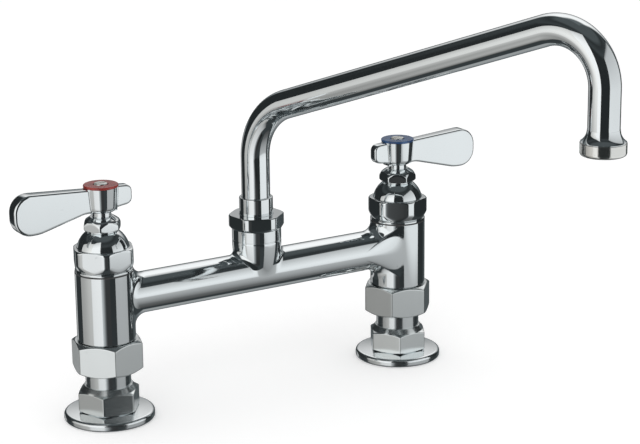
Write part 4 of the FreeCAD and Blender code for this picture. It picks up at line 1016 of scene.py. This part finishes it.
def studio_world():
    """World light: white to the camera, even to dull surfaces, and to mirrors dark with a panel behind."""
    world = bpy.data.worlds.new("studio")
    world.use_nodes = True
    tree = world.node_tree
    tree.nodes.clear()
    place = Wire(added(tree, "ShaderNodeTexCoord", {}, {}).outputs["Generated"])
    split = added(tree, "ShaderNodeSeparateXYZ", {}, {0: place})
    east, north, up = (Wire(split.outputs[index]) for index in range(3))
    bearing = east.math("ARCTAN2", north * -1) * (180 / math.pi)
    level = up.math("ARCSINE") * (180 / math.pi)

    def between(wire, start, end, soft=2.0):
        """One between start and end, fading over soft degrees at both."""
        return wire.eased(start - soft, start + soft) * (1 - wire.eased(end - soft, end + soft))

    height = (level + 90) / 180
    back_fall = height.ramp((0.1, 0.3), (0.19, 0.3), (0.26, 0.18), (0.35, 0.06), (0.51, 0.05),
                            (0.545, 0.12), (0.57, 0.3), (0.59, 0.42), (0.62, 0.6), (0.65, 0.78),
                            (0.7, 0.94), (0.8, 0.98), (0.84, 0.55), (0.87, 0.05))
    back_panel = between(bearing, 107, 172, 7) * back_fall
    rear_strip = (1 - between(bearing, -168, 177)) * between(level, -45, -4, 6) * 0.42
    gaps = height.ramp((0.38, 0.045), (0.42, 0.022), (0.66, 0.022), (0.7, 0.05), (0.78, 0.03), (0.83, 0.08))
    room = back_panel + rear_strip + gaps
    dark = (0.85, 1.0, 1.05, 1)
    tinted = mixed(room.eased(0.0, 0.5), dark, (1, 1, 1, 1))
    mirrored = tinted.node("ShaderNodeVectorMath", {"operation": "SCALE"}, {0: tinted, "Scale": room})
    rays = added(tree, "ShaderNodeLightPath", {}, {})
    camera = Wire(rays.outputs["Is Camera Ray"])
    glossy = Wire(rays.outputs["Is Glossy Ray"])
    dull = mixed(camera, (0.85, 0.85, 0.85, 1), (1, 1, 1, 1))
    light = mixed(glossy, dull, mirrored)
    background = added(tree, "ShaderNodeBackground", {}, {"Color": light, "Strength": 1.0})
    output = tree.nodes.new("ShaderNodeOutputWorld")
    tree.links.new(background.outputs[0], output.inputs[0])
    bpy.context.scene.world = world


studio_world()


def pale_floor():
    """The floor: white, with the object's shadow. Mirrors look through it into the room below."""
    material, shader, place = surface("pale floor")
    tree = material.node_tree
    pale, paler = (0.93, 0.93, 0.93, 1), (0.96, 0.96, 0.96, 1)
    feed(shader, Base_Color=mixed(mottled(place, 3), pale, paler), Roughness=0.9)
    rays = added(tree, "ShaderNodeLightPath", {}, {})
    glow = added(tree, "ShaderNodeEmission", {}, {"Color": (1, 1, 1, 1), "Strength": 0.22})
    lit = added(tree, "ShaderNodeAddShader", {}, {})
    tree.links.new(shader.outputs[0], lit.inputs[0])
    tree.links.new(glow.outputs[0], lit.inputs[1])
    clear = added(tree, "ShaderNodeBsdfTransparent", {}, {})
    mix = added(tree, "ShaderNodeMixShader", {}, {0: Wire(rays.outputs["Is Glossy Ray"])})
    tree.links.new(lit.outputs[0], mix.inputs[1])
    tree.links.new(clear.outputs[0], mix.inputs[2])
    tree.links.new(mix.outputs[0], tree.nodes["Material Output"].inputs[0])
    floor_mesh = bpy.data.meshes.new("floor")
    half = 6.0
    corners = [(-half, -half, 0), (half, -half, 0), (half, half, 0), (-half, half, 0)]
    floor_mesh.from_pydata(corners, [], [(0, 1, 2, 3)])
    floor_mesh.materials.append(material)
    floor = bpy.data.objects.new("floor", floor_mesh)
    floor.location.z = -0.05 * mm
    bpy.context.scene.collection.objects.link(floor)


pale_floor()

lamp = bpy.data.lights.new("soft box", "AREA")
lamp.shape = "RECTANGLE"
lamp.size = 1.6
lamp.size_y = 1.2
lamp.energy = 9
lamp_object = bpy.data.objects.new("soft box", lamp)
lamp_object.location = (-1.4, -1.6, 1.9)
towards_faucet = Vector((0, 0, 0.1)) - lamp_object.location
lamp_object.rotation_euler = towards_faucet.to_track_quat("-Z", "Y").to_euler()
lamp_object.visible_glossy = False
bpy.context.scene.collection.objects.link(lamp_object)


# Camera: the photograph's viewing angle and distance, worked out from the faucet's own edges.

azimuth = math.radians(-31.21)
elevation = math.radians(15.71)
roll = math.radians(-0.58)
distance = 1255.69 * mm
target = Vector((44.73 * mm, 0, 96.41 * mm))
frame_width = 640
focal_length = 2047.87

back = Vector((
    math.sin(azimuth) * math.cos(elevation), -math.cos(azimuth) * math.cos(elevation), math.sin(elevation)))
level_right = Vector((math.cos(azimuth), math.sin(azimuth), 0))
level_up = back.cross(level_right)
right = level_right * math.cos(roll) + level_up * math.sin(roll)
up = level_up * math.cos(roll) - level_right * math.sin(roll)
camera_data = bpy.data.cameras.new("camera")
camera_data.sensor_width = 36
camera_data.lens = focal_length / frame_width * camera_data.sensor_width
camera = bpy.data.objects.new("camera", camera_data)
turning = Matrix((right, up, back)).transposed().to_4x4()
camera.matrix_world = Matrix.Translation(target + back * distance) @ turning
bpy.context.scene.collection.objects.link(camera)
bpy.context.scene.camera = camera
bpy.context.scene.view_settings.view_transform = "Standard"
